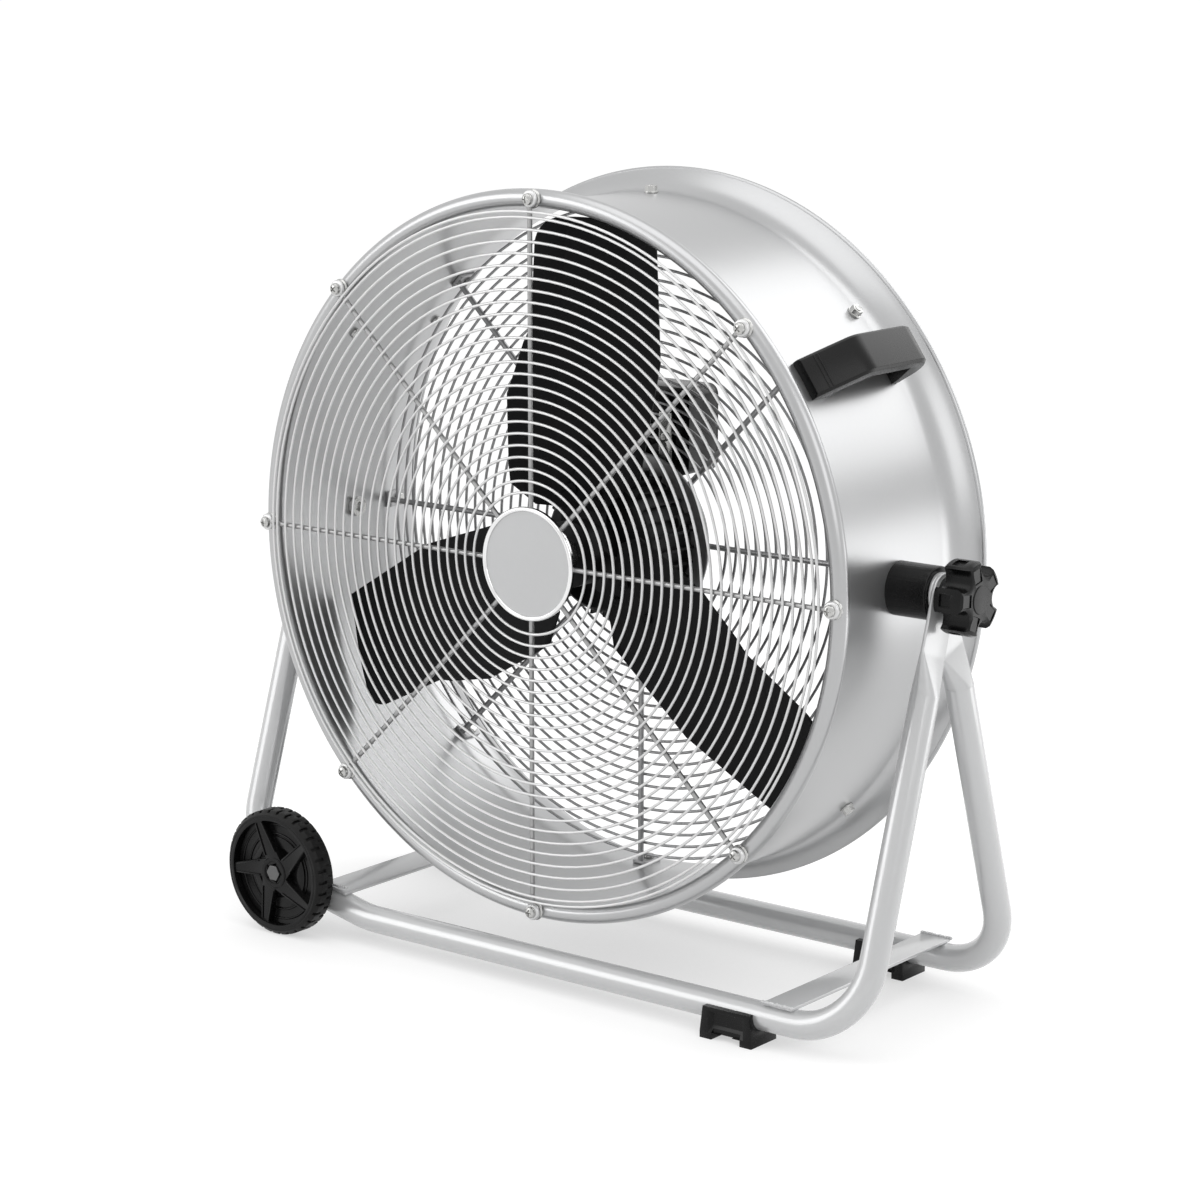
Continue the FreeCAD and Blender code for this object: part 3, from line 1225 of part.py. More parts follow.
def foot(label, sign):
    """Saddle foot under a floor tube with a recessed window on each long side."""
    body = new_body(label)
    profile = new_sketch(body, "YZ_Plane")
    cradle = "(tube_radius + seat_gap)"
    lip = f"sqrt({cradle} ^ 2 - (foot_height - tube_floor) ^ 2)"
    draw(profile, [
        ("-foot_depth / 2", "0"), ("foot_depth / 2", "0"), ("foot_depth / 2", "foot_height"),
        (lip, "foot_height", cradle, -1, True), (f"-{lip}", "foot_height"),
        ("-foot_depth / 2", "foot_height"),
    ])
    feature(body, "Pad", profile, Length="foot_length").SideType = "Symmetric"
    doc.recompute()
    for end in (1, -1):
        slope = new_sketch(body, "XZ_Plane")
        draw(slope, [
            (f"{end} * foot_length / 2", "foot_notch_height"),
            (f"{end} * (foot_length / 2 + cut_overrun)", "foot_notch_height"),
            (f"{end} * (foot_length / 2 + cut_overrun)", "foot_height + cut_overrun"),
            (f"{end} * foot_top_length / 2", "foot_height + cut_overrun"),
        ])
        through(body, slope)
        doc.recompute()
    window = new_sketch(body, "XZ_Plane", "foot_depth / 2")
    draw(window, [
        ("-foot_window / 2", "foot_notch_height"), ("-foot_notch / 2", "foot_notch_height"),
        ("-foot_notch / 2", "-cut_overrun"), ("foot_notch / 2", "-cut_overrun"),
        ("foot_notch / 2", "foot_notch_height"), ("foot_window / 2", "foot_notch_height"),
        ("foot_window / 2 - foot_window_depth", "foot_window_height"),
        ("foot_window_depth - foot_window / 2", "foot_window_height"),
    ])
    recess = feature(body, "Pocket", window, Length="foot_window_depth")
    doc.recompute()
    twin = body.newObject("PartDesign::Mirrored", f"{label}_twin")
    twin.Originals = [recess]
    twin.MirrorPlane = (origin(body, "XZ_Plane"), [""])
    body.Tip = twin
    doc.recompute()
    under = new_sketch(body, "XY_Plane", "-cut_overrun")
    ring(under, "0", "0", "foot_screw_head + seat_gap")
    feature(body, "Pocket", under, Length="foot_screw_recess + cut_overrun").Reversed = True
    doc.recompute()
    shank = new_sketch(body, "XY_Plane", "-cut_overrun")
    ring(shank, "0", "0", "foot_screw_radius + fit_gap")
    feature(body, "Pocket", shank, Length="tube_floor").Reversed = True
    body.Placement.Base = V(s.foot_centre, sign * s.tube_spread, 0)
    bind(body, Placement__Base__x="foot_centre", Placement__Base__y=f"{sign} * tube_spread")
    doc.recompute()


foot("front_foot", -1)
foot("rear_foot", 1)
foot_screw = screw(s.foot_screw_radius, s.foot_screw_length, s.foot_screw_head, s.foot_screw_head_thick)
foot_spots = [V(s.foot_centre, sign * s.tube_spread, s.foot_screw_recess) for sign in (-1, 1)]
foot_screws = [moved(foot_screw, FreeCAD.Placement(spot, down)) for spot in foot_spots]
solid("foot_screws", Part.makeCompound(foot_screws), FreeCAD.Placement())

# Wheels: each turns on a bolt through a sleeve welded across the raised tube run.
sleeve_inner = run_spread(s.wheel_centre) - s.tube_radius - s.sleeve_overhang
hub_face = s.wheel_face - s.rim_hub_drop
hub_back = s.wheel_face - s.wheel_width - s.seat_gap


def wheel_place(sign):
    """Placement of a wheel: own Z points outward from the stand."""
    turned = FreeCAD.Rotation(X_AXIS, -sign * QUARTER_TURN)
    return FreeCAD.Placement(V(-s.wheel_centre, 0, s.wheel_radius), turned)


def wheel(side, sign):
    """Tyre with staggered tread blocks and a dished rim with slanted spokes."""
    tyre = new_body(f"{side}_wheel_tyre")
    face, back = "wheel_face", "(wheel_face - wheel_width)"
    turn(tyre, [
        ("tyre_inner", face), ("wheel_radius - tyre_shoulder", face),
        ("wheel_radius", f"{face} - tyre_shoulder"), ("wheel_radius", f"{back} + tyre_shoulder"),
        ("wheel_radius - tyre_shoulder", back), ("tyre_inner", back),
    ])
    doc.recompute()
    rows = (f"{face} - wheel_width / 2 + tread_gap / 4", f"{back} - cut_overrun")
    for half_step, level in enumerate(rows):
        gap = new_sketch(tyre, "XY_Plane", level)
        gap.AttachmentOffset = FreeCAD.Placement(
            V(0, 0, worth(level)), FreeCAD.Rotation(Z_AXIS, half_step * HALF_TURN / s.tread_blocks))
        draw(gap, [
            ("wheel_radius - tread_depth", "-tread_gap / 2"),
            ("wheel_radius + cut_overrun", "-tread_gap / 2"),
            ("wheel_radius + cut_overrun", "tread_gap / 2"), ("wheel_radius - tread_depth", "tread_gap / 2"),
        ])
        cut = feature(tyre, "Pocket", gap, Length="wheel_width / 2 + cut_overrun - tread_gap / 4")
        cut.Reversed = True
        repeat(tyre, cut, "tread_blocks")
        doc.recompute()
    tyre.Placement = wheel_place(sign)
    bind(tyre, Placement__Base__z="wheel_radius")

    rim_body = new_body(f"{side}_wheel_rim")
    web_face = f"({face} - rim_spoke_rise - rim_web / 2)"
    turn(rim_body, [
        ("axle_radius + running_gap", "wheel_face - rim_hub_drop"), ("rim_hub", "wheel_face - rim_hub_drop"),
        ("rim_hub", web_face), ("rim_step", web_face), ("rim_step", f"{web_face} + rim_ridge_rise"),
        ("rim_ridge", f"{web_face} + rim_ridge_rise"), ("rim_ridge", web_face), ("rim_inner", web_face),
        ("rim_inner", face), ("tyre_inner - fit_gap", face), ("tyre_inner - fit_gap", back),
        ("rim_inner", back), ("rim_inner", f"{web_face} - rim_web"), ("rim_hub", f"{web_face} - rim_web"),
        ("rim_hub", back), ("axle_radius + running_gap", back),
    ])
    doc.recompute()
    level = f"{web_face} - sink"
    spoke_sketch = new_sketch(rim_body, "XY_Plane", level)
    spoke_sketch.AttachmentOffset = FreeCAD.Placement(V(0, 0, worth(level)),
                                                      FreeCAD.Rotation(Z_AXIS, s.rim_spoke_turn))
    draw(spoke_sketch, [
        ("rim_hub / 2", "-rim_spoke_root"), ("rim_inner + sink", "-rim_spoke_tip / 2"),
        ("rim_inner + sink", "rim_spoke_tip / 2"), ("rim_hub / 2", "rim_spoke_tip / 2"),
    ])
    spokes = feature(rim_body, "Pad", spoke_sketch, Length="rim_spoke_rise + sink")
    repeat(rim_body, spokes, "rim_spokes")
    doc.recompute()
    trim = new_sketch(rim_body, "XY_Plane", f"{face} + cut_overrun")
    ring(trim, "0", "0", "wheel_radius + cut_overrun")
    ring(trim, "0", "0", "tyre_inner - fit_gap")
    feature(rim_body, "Pocket", trim, Length="wheel_width + cut_overrun * 2")
    rim_body.Placement = wheel_place(sign)
    bind(rim_body, Placement__Base__z="wheel_radius")
    doc.recompute()


for side, sign in (("front", -1), ("rear", 1)):
    wheel(side, sign)

bolt_tail = sleeve_inner - s.axle_nut_thick - s.axle_tail
axle = hexagon(s.axle_head, hub_face, hub_face + s.axle_head_thick)
axle = axle.fuse(rod(s.axle_radius, bolt_tail, hub_face))
nut = hexagon(s.axle_head, sleeve_inner - s.axle_nut_thick, sleeve_inner)
nut = nut.cut(rod(s.axle_radius + s.fit_gap, bolt_tail, sleeve_inner))
for label, shape in (("wheel_axles", axle), ("axle_nuts", nut)):
    pair = [moved(shape, wheel_place(sign)) for sign in (-1, 1)]
    solid(label, Part.makeCompound(pair), FreeCAD.Placement())
sleeve = rod(s.sleeve_radius, sleeve_inner, hub_back)
sleeve = sleeve.cut(rod(s.axle_radius + s.fit_gap, sleeve_inner, hub_back))
sleeves = [moved(sleeve, wheel_place(sign)).cut(moved(frame_bar, tube_place(sign < 0))) for sign in (-1, 1)]
solid("axle_sleeves", Part.makeCompound(sleeves), FreeCAD.Placement())

doc.recompute()
os.makedirs("parts", exist_ok=True)
for obj in doc.Objects:
    faults = [state for state in obj.State if state in ("Invalid", "Error")]
    if faults:
        raise RuntimeError(f"{obj.Label}: {faults}")
for piece in nodes:
    if piece.Shape.isNull() or not piece.Shape.isValid():
        raise RuntimeError(f"{piece.Label}: shape is empty or not valid")
    piece.Shape.exportStep(f"parts/{piece.Label}.step")
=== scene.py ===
"""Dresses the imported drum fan.

Turned drum, welded wire guards, pressed tubes, fluted knobs, broken edges, screws and finishes.
"""

import itertools
import json
import logging
import math
from dataclasses import dataclass, field
from enum import Enum
from typing import Iterable, Sequence

import bmesh
import bpy
from mathutils import Matrix, Vector


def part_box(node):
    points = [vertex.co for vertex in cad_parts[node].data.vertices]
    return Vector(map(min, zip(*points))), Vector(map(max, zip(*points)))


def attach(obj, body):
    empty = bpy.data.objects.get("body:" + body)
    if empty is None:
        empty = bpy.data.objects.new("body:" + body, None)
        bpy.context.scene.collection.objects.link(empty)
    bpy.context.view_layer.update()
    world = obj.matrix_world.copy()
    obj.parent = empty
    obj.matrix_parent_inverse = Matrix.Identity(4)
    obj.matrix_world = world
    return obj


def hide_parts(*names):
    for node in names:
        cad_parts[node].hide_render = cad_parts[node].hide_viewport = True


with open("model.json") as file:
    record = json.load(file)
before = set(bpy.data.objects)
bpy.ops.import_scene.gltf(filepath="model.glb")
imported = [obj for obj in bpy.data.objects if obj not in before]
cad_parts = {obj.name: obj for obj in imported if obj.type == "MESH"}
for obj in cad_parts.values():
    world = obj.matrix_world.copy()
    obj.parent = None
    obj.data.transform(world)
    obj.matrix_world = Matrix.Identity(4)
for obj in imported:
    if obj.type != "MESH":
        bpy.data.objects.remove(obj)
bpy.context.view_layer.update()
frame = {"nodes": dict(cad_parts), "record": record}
LOG = logging.getLogger("drum_fan")
TURN = 2 * math.pi
MM = 0.001
HERE = Matrix.Identity(4)
# Radius of the bore for the pivot bolts in the clamp knobs and the tube ends.
PIVOT_BORE = 6.3 * MM
# Points closer than this are one, in new meshes and in copies of the solids.
CLOSE = 0.001 * MM
COPY_CLOSE = 0.002 * MM
# Edges past the sharp angle stay sharp or are broken; those under the flat angle are dissolved.
SHARP = math.radians(30.0)
FLAT = math.radians(0.5)
BREAK_STEPS = 2
Profile = list[tuple[float, float]]


class Relief(Enum):
    """Kind of fine relief worked into a finish."""

    PEEL = "orange_peel"
    GRAIN = "moulded_grain"
    DRAWN = "drawn_wire"


class Axis(Enum):
    """Axis of the object, as a number."""

    X = 0
    Y = 1
    Z = 2


def joint_spot(name: str) -> Vector:
    """Point on the axis of a joint of the record, in metres."""
    joints = frame["record"]["behaviour"]["joints"]
    return Vector(next(joint["pos_m"] for joint in joints if joint["name"] == name))


def reach(node: str, axis: Axis) -> float:
    """Farthest that a node goes along the positive side of an axis, in metres."""
    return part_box(node)[1][axis.value]


FAN_FRAME = Matrix.Translation(joint_spot("drum_tilt")) @ Matrix.Rotation(math.pi / 2, 4, "X")


def group_socket(tree: bpy.types.NodeTree, name: str, kind: str, output: bool = False) -> None:
    """Add one named socket to a node group.

    Args:
        tree: The group.
        name: Socket name.
        kind: Socket type after the common prefix.
        output: Whether it is an output.
    """
    tree.interface.new_socket(name, in_out="OUTPUT" if output else "INPUT",
                              socket_type=f"NodeSocket{kind}")


def fill(tree: bpy.types.NodeTree, node: bpy.types.Node, values: dict) -> None:
    """Link inputs of a node to other sockets, or set them to plain values.

    Args:
        tree: Tree that holds the node.
        node: The node.
        values: Input name or number to a socket or a plain value.
    """
    for name, value in values.items():
        if isinstance(value, bpy.types.NodeSocket):
            tree.links.new(value, node.inputs[name])
        else:
            node.inputs[name].default_value = value


class ShaderGroup:
    """A shader node group under construction, with short calls for its nodes."""

    def __init__(self, name: str, inputs: dict[str, str], outputs: dict[str, str]) -> None:
        """Start the group with its named sockets.

        Args:
            name: Group name.
            inputs: Input name to socket type.
            outputs: Output name to socket type.
        """
        self.tree = bpy.data.node_groups.new(name, "ShaderNodeTree")
        for label, kind in inputs.items():
            group_socket(self.tree, label, kind)
        for label, kind in outputs.items():
            group_socket(self.tree, label, kind, output=True)
        self.given = self.tree.nodes.new("NodeGroupInput").outputs
        self.result = self.tree.nodes.new("NodeGroupOutput").inputs

    def noise(self, scale: float | bpy.types.NodeSocket, detail: float,
              distortion: float = 0.0) -> bpy.types.NodeSocket:
        """Noise over the piece.

        Args:
            scale: Scale as a number or a socket.
            detail: Number of finer layers.
            distortion: How much the pattern is bent.

        Returns:
            The noise value.
        """
        made = self.tree.nodes.new("ShaderNodeTexNoise")
        fill(self.tree, made, {"Vector": self.given["Vector"], "Scale": scale, "Detail": detail,
                               "Distortion": distortion})
        return made.outputs["Fac"]

    def math(self, kind: str, a: bpy.types.NodeSocket,
             b: bpy.types.NodeSocket | float) -> bpy.types.NodeSocket:
        """Arithmetic on a socket and another socket or number.

        Args:
            kind: Operation.
            a: First value.
            b: Second value.

        Returns:
            The result.
        """
        made = self.tree.nodes.new("ShaderNodeMath")
        made.operation = kind
        fill(self.tree, made, {0: a, 1: b})
        return made.outputs[0]


# Scale and detail of the noises in the tone group, and how far they swing colour and gloss.
BROAD_NOISE = (14.0, 3.0)
FINE_NOISE = (260.0, 2.0)
DUST_NOISE = (35.0, 5.0)
NOISE_MIDDLE = 0.5
FINE_SHARE = 0.6
MOTTLE_SWING = 2.0
DUST_COLOR = (0.55, 0.53, 0.50, 1.0)
DUST_DULLING = 0.5
# Detail of the relief noises, and how much the drawn one is bent.
PEEL_DETAIL = 2.0
DRAWN_DETAIL, DRAWN_BEND = 6.0, 0.6
# Numbers of the colour sockets of a Mix node.
MIX_A, MIX_B, MIX_RESULT = 6, 7, 2


def tone_group() -> bpy.types.NodeTree:
    """Group for soft colour mottle, gloss drift and dust on faces that look up.

    Returns:
        The shared shader group.
    """
    known = bpy.data.node_groups.get("tone_and_dust")
    if known:
        return known
    group = ShaderGroup(
        "tone_and_dust",
        {"Vector": "Vector", "Facing": "Vector", "Color": "Color", "Mottle": "Float",
         "Roughness": "Float", "Shift": "Float", "Dust": "Float"},
        {"Color": "Color", "Roughness": "Float"})
    nodes, given, calc = group.tree.nodes, group.given, group.math
    value, split = nodes.new("ShaderNodeHueSaturation"), nodes.new("ShaderNodeSeparateXYZ")
    mix = nodes.new("ShaderNodeMix")
    mix.data_type = "RGBA"
    broad = calc("SUBTRACT", group.noise(*BROAD_NOISE), NOISE_MIDDLE)
    fine = calc("SUBTRACT", group.noise(*FINE_NOISE), NOISE_MIDDLE)
    both = calc("ADD", broad, calc("MULTIPLY", fine, FINE_SHARE))
    swing = calc("MULTIPLY", calc("MULTIPLY", both, given["Mottle"]), MOTTLE_SWING)
    fill(group.tree, value, {"Color": given["Color"], "Value": calc("ADD", swing, 1.0)})
    fill(group.tree, split, {0: given["Facing"]})
    up = calc("MAXIMUM", split.outputs["Z"], 0.0)
    dust = calc("MULTIPLY", calc("MULTIPLY", up, group.noise(*DUST_NOISE)), given["Dust"])
    fill(group.tree, mix, {"Factor": dust, MIX_A: value.outputs["Color"], MIX_B: DUST_COLOR})
    drifted = calc("ADD", given["Roughness"], calc("MULTIPLY", both, given["Shift"]))
    dulled = calc("ADD", drifted, calc("MULTIPLY", dust, DUST_DULLING))
    group.tree.links.new(mix.outputs[MIX_RESULT], group.result["Color"])
    group.tree.links.new(dulled, group.result["Roughness"])
    return group.tree


def relief_group(relief: Relief) -> bpy.types.NodeTree:
    """Height pattern of one kind of surface.

    Args:
        relief: Kind of relief.

    Returns:
        The shared shader group with a height output.
    """
    known = bpy.data.node_groups.get(relief.value)
    if known:
        return known
    group = ShaderGroup(relief.value, {"Vector": "Vector", "Scale": "Float"}, {"Height": "Float"})
    scale = group.given["Scale"]
    if relief is Relief.GRAIN:
        cells = group.tree.nodes.new("ShaderNodeTexVoronoi")
        cells.feature = "SMOOTH_F1"
        fill(group.tree, cells, {"Vector": group.given["Vector"], "Scale": scale})
        height = cells.outputs["Distance"]
    elif relief is Relief.PEEL:
        height = group.noise(scale, PEEL_DETAIL)
    else:
        height = group.noise(scale, DRAWN_DETAIL, DRAWN_BEND)
    group.tree.links.new(height, group.result["Height"])
    return group.tree


@dataclass(frozen=True)
class Finish:
    """One surface finish: base colour, gloss, relief and how much both vary."""

    name: str
    color: tuple[float, float, float]
    metallic: float = 0.0
    roughness: float = 0.4
    relief: Relief = Relief.GRAIN
    scale: float = 900.0
    depth: float = 0.05
    mottle: float = 0.06
    gloss_shift: float = 0.08
    dust: float = 0.0
    coat: float = 0.0
    shine: float = 0.5
    coat_roughness: float = 0.12
    bump_reach: float = 0.4 * MM

    def material(self) -> bpy.types.Material:
        """Node material of this finish, built once and then shared.

        Returns:
            The material with its pattern groups wired to the shader.
        """
        known = bpy.data.materials.get(self.name)
        if known:
            return known
        made = bpy.data.materials.new(self.name)
        made.use_nodes = True
        tree = made.node_tree
        coords = tree.nodes.new("ShaderNodeTexCoord").outputs
        tone, relief = tree.nodes.new("ShaderNodeGroup"), tree.nodes.new("ShaderNodeGroup")
        bump = tree.nodes.new("ShaderNodeBump")
        tone.node_tree, relief.node_tree = tone_group(), relief_group(self.relief)
        fill(tree, tone, {
            "Vector": coords["Object"], "Facing": coords["Normal"], "Color": (*self.color, 1.0),
            "Mottle": self.mottle, "Roughness": self.roughness, "Shift": self.gloss_shift,
            "Dust": self.dust})
        fill(tree, relief, {"Vector": coords["Object"], "Scale": self.scale})
        fill(tree, bump, {"Height": relief.outputs["Height"], "Strength": self.depth,
                          "Distance": self.bump_reach})
        fill(tree, tree.nodes["Principled BSDF"], {
            "Base Color": tone.outputs["Color"], "Roughness": tone.outputs["Roughness"],
            "Normal": bump.outputs["Normal"], "Metallic": self.metallic,
            "Coat Weight": self.coat, "Coat Roughness": self.coat_roughness,
            "Specular IOR Level": self.shine})
        return made


DRUM_PAINT = Finish("drum_silver_paint", (0.48, 0.483, 0.487), 0.8, 0.30,
                    Relief.PEEL, 420, 0.03, 0.03, 0.05)
STAND_PAINT = Finish("stand_pale_paint", (0.74, 0.745, 0.75), 0.25, 0.26,
                     Relief.PEEL, 300, 0.04, 0.02, 0.04, coat=0.4)
GUARD_WIRE = Finish("guard_bright_wire", (0.82, 0.82, 0.82), 0.4, 0.30,
                    Relief.DRAWN, 800, 0.04, 0.04, 0.08)
SPOKE_WIRE = Finish("guard_grey_spoke", (0.40, 0.40, 0.40), 0.7, 0.36,
                    Relief.DRAWN, 800, 0.04, 0.04, 0.08)
REAR_WIRE = Finish("rear_guard_grey_wire", (0.40, 0.40, 0.405), 0.6, 0.38,
                   Relief.DRAWN, 800, 0.04, 0.04, 0.08)
ZINC = Finish("zinc_plated_steel", (0.50, 0.50, 0.49), 0.95, 0.26,
              Relief.DRAWN, 1200, 0.05, 0.06, 0.12)
DARK_ZINC = Finish("black_zinc_steel", (0.13, 0.13, 0.13), 0.8, 0.34,
                   Relief.DRAWN, 1200, 0.05, 0.08, 0.10)
BADGE_FACE = Finish("badge_satin_face", (0.74, 0.745, 0.75), 0.15, 0.42,
                    Relief.PEEL, 700, 0.02, 0.02, 0.04)
BADGE_RIM = Finish("badge_polished_rim", (0.78, 0.78, 0.78), 1.0, 0.14,
                   Relief.DRAWN, 900, 0.01, 0.02, 0.04)
BLACK_PLASTIC = Finish("black_moulded_plastic", (0.004, 0.004, 0.0042), 0.0, 0.26,
                       Relief.GRAIN, 1500, 0.06, 0.10, 0.10, dust=0.01, shine=0.22)
BLACK_GRIP = Finish("black_grip_plastic", (0.004, 0.004, 0.0042), 0.0, 0.28,
                    Relief.GRAIN, 1100, 0.08, 0.10, 0.08, dust=0.01, shine=0.28)
BLADE_PAINT = Finish("blade_black_enamel", (0.004, 0.004, 0.0045), 0.0, 0.50,
                     Relief.PEEL, 500, 0.03, 0.10, 0.06, shine=0.12)
MOTOR_PAINT = Finish("motor_black_enamel", (0.006, 0.006, 0.0065), 0.0, 0.45,
                     Relief.PEEL, 600, 0.05, 0.10, 0.08, dust=0.02, shine=0.2)
TYRE = Finish("tyre_black_tread", (0.006, 0.006, 0.006), 0.0, 0.48,
              Relief.GRAIN, 900, 0.15, 0.12, 0.06, dust=0.02, shine=0.22)
STEEL = Finish("bare_ground_steel", (0.50, 0.50, 0.51), 1.0, 0.32,
               Relief.DRAWN, 1000, 0.05, 0.05, 0.10)
COPPER = Finish("varnished_copper", (0.60, 0.25, 0.11), 0.9, 0.35,
                Relief.DRAWN, 900, 0.10, 0.08, 0.10)
MARK_WHITE = Finish("printed_white_mark", (0.75, 0.75, 0.74), 0.0, 0.55,
                    Relief.GRAIN, 1500, 0.05, 0.04, 0.05)


def body_of(node: str) -> str:
    """Name of the body that a node belongs to."""
    bodies = frame["record"]["behaviour"]["bodies"]
    return next(body for body, members in bodies.items() if node in members)


def placed(name: str, data: bpy.types.ID) -> bpy.types.Object:
    """New object in the scene that carries a mesh, a lamp or a camera.

    Args:
        name: Name of the object.
        data: What it carries.

    Returns:
        The object.
    """
    made = bpy.data.objects.new(name, data)
    bpy.context.scene.collection.objects.link(made)
    return made


def baked(name: str, helper: bpy.types.Object) -> bpy.types.Mesh:
    """Plain mesh of an object with its modifiers applied; the object itself is removed.

    Args:
        name: Name of the mesh.
        helper: Object with the modifiers.

    Returns:
        The mesh.
    """
    graph = bpy.context.evaluated_depsgraph_get()
    made = bpy.data.meshes.new_from_object(helper.evaluated_get(graph), depsgraph=graph)
    bpy.data.objects.remove(helper)
    made.name = name
    return made


def plain_mesh(name: str, work: bmesh.types.BMesh, mend: bool = False) -> bpy.types.Mesh:
    """Write worked geometry to a new mesh and free it.

    Args:
        name: Name of the mesh.
        work: The geometry.
        mend: Whether doubles are merged and faces turned outwards first.

    Returns:
        The mesh.
    """
    if mend:
        bmesh.ops.remove_doubles(work, verts=work.verts, dist=CLOSE)
        bmesh.ops.recalc_face_normals(work, faces=work.faces)
    mesh = bpy.data.meshes.new(name)
    work.to_mesh(mesh)
    work.free()
    return mesh


def coated(mesh: bpy.types.Mesh, finish: Finish) -> bpy.types.Mesh:
    """Give a mesh one finish in place of any other.

    Args:
        mesh: Mesh to coat.
        finish: Its finish.

    Returns:
        The same mesh.
    """
    mesh.materials.clear()
    mesh.materials.append(finish.material())
    return mesh


def settled(name: str, mesh: bpy.types.Mesh, *modifiers: tuple[str, dict]) -> bpy.types.Mesh:
    """Mesh with modifiers applied to it, in order.

    Args:
        name: Name of the result.
        mesh: Mesh to work on.
        modifiers: Modifier type and its settings, one pair each.

    Returns:
        The plain result.
    """
    helper = placed(f"{name}_helper", mesh)
    for kind, settings in modifiers:
        modifier = helper.modifiers.new(kind.lower(), kind)
        for label, value in settings.items():
            setattr(modifier, label, value)
    return baked(name, helper)


def shade(mesh: bpy.types.Mesh) -> bpy.types.Mesh:
    """Smooth the shading, with edges past the sharp angle kept sharp.

    Args:
        mesh: Mesh to shade.

    Returns:
        The same mesh.
    """
    mesh.polygons.foreach_set("use_smooth", [True] * len(mesh.polygons))
    mesh.set_sharp_from_angle(angle=SHARP)
    return mesh


def broken_edges(width: float) -> tuple[str, dict]:
    """Bevel that breaks every edge past the sharp angle, for use with settled."""
    return "BEVEL", {"width": width, "segments": BREAK_STEPS, "limit_method": "ANGLE",
                     "angle_limit": SHARP, "use_clamp_overlap": True}


def node_skin(node: str, bevel: float = 0.0) -> bpy.types.Mesh:
    """Merged copy of a CAD node with smooth curved faces and, if asked, broken edges.

    Args:
        node: CAD node to copy.
        bevel: Width of the broken edges in metres, or zero.

    Returns:
        The copied mesh.
    """
    name = f"{node}_skin"
    work = bmesh.new()
    work.from_mesh(frame["nodes"][node].data)
    bmesh.ops.remove_doubles(work, verts=work.verts, dist=COPY_CLOSE)
    if bevel:
        bmesh.ops.dissolve_limit(work, angle_limit=FLAT, verts=work.verts, edges=work.edges)
    mesh = plain_mesh(name, work)
    if bevel:
        mesh = settled(name, mesh, broken_edges(bevel))
    return shade(mesh)


def join_meshes(name: str, meshes: Iterable[bpy.types.Mesh]) -> bpy.types.Mesh:
    """Join several meshes into one and keep their materials.

    Args:
        name: Name of the joined mesh.
        meshes: Meshes in the frame of the object.

    Returns:
        The joined mesh with a material slot for each finish.
    """
    work = bmesh.new()
    slots: list[bpy.types.Material] = []
    for mesh in meshes:
        start = len(work.faces)
        work.from_mesh(mesh)
        work.faces.ensure_lookup_table()
        for face in work.faces[start:]:
            material = mesh.materials[face.material_index]
            if material not in slots:
                slots.append(material)
            face.material_index = slots.index(material)
    joined = plain_mesh(name, work)
    for material in slots:
        joined.materials.append(material)
    return joined


def arc(center: tuple[float, float], radius: float, start: float, end: float,
        steps: int = 12) -> Profile:
    """Points of an arc in a profile.

    Args:
        center: Radius and height of the arc's middle.
        radius: Arc radius.
        start: First angle in degrees, from outward towards up.
        end: Last angle in degrees.
        steps: Number of chords.

    Returns:
        The points, both ends included.
    """
    turns = (math.radians(start + (end - start) * step / steps) for step in range(steps + 1))
    return [(center[0] + radius * math.cos(turn), center[1] + radius * math.sin(turn))
            for turn in turns]


def lathe(name: str, profile: Profile, finish: Finish, place: Matrix,
          steps: int = 64) -> bpy.types.Mesh:
    """Turn a (radius, height) profile about Z.

    Args:
        name: Name of the mesh.
        profile: Points from one end of the outline to the other.
        finish: Finish of the mesh.
        place: Matrix that carries it into the frame of the object.
        steps: Number of steps round the axis.

    Returns:
        The turned mesh, smooth up to the sharp angle.
    """
    work = bmesh.new()
    line = [work.verts.new((radius, 0.0, height)) for radius, height in profile]
    edges = [work.edges.new(pair) for pair in zip(line, line[1:])]
    bmesh.ops.spin(work, geom=line + edges, cent=(0, 0, 0), axis=(0, 0, 1), angle=TURN,
                   steps=steps, use_merge=True)
    mesh = plain_mesh(name, work, mend=True)
    mesh.transform(place)
    return shade(coated(mesh, finish))


def block(name: str, size: Sequence[float], finish: Finish, place: Matrix,
          bevel: float) -> bpy.types.Mesh:
    """Small bar with broken edges.

    Args:
        name: Name of the mesh.
        size: Its three sides in metres.
        finish: Finish of the mesh.
        place: Matrix that carries it into the frame of the object.
        bevel: Width of the broken edges.

    Returns:
        The bar.
    """
    work = bmesh.new()
    bmesh.ops.create_cube(work, size=1.0, matrix=Matrix.Diagonal((*size, 1.0)))
    every_edge = {"width": bevel, "segments": BREAK_STEPS, "limit_method": "NONE"}
    mesh = settled(name, plain_mesh(name, work), ("BEVEL", every_edge))
    mesh.transform(place)
    return shade(coated(mesh, finish))


def hull(name: str, points: Iterable[Sequence[float]]) -> bpy.types.Mesh:
    """Convex solid round a set of points.

    Args:
        name: Name of the mesh.
        points: Its corners.

    Returns:
        The solid.
    """
    work = bmesh.new()
    bmesh.ops.convex_hull(work, input=[work.verts.new(point) for point in points])
    return plain_mesh(name, work, mend=True)


def drill(radius: float, start: Vector, end: Vector, steps: int = 32) -> bpy.types.Mesh:
    """Round solid along X, to cut a bore with.

    Args:
        radius: Radius of the bore.
        start: Middle of one end.
        end: Middle of the other end, straight along X.
        steps: Number of steps round it.

    Returns:
        The solid.
    """
    turns = [TURN * step / steps for step in range(steps)]
    ring = [Vector((0, radius * math.cos(turn), radius * math.sin(turn))) for turn in turns]
    return hull("drill", [middle + point for middle in (start, end) for point in ring])


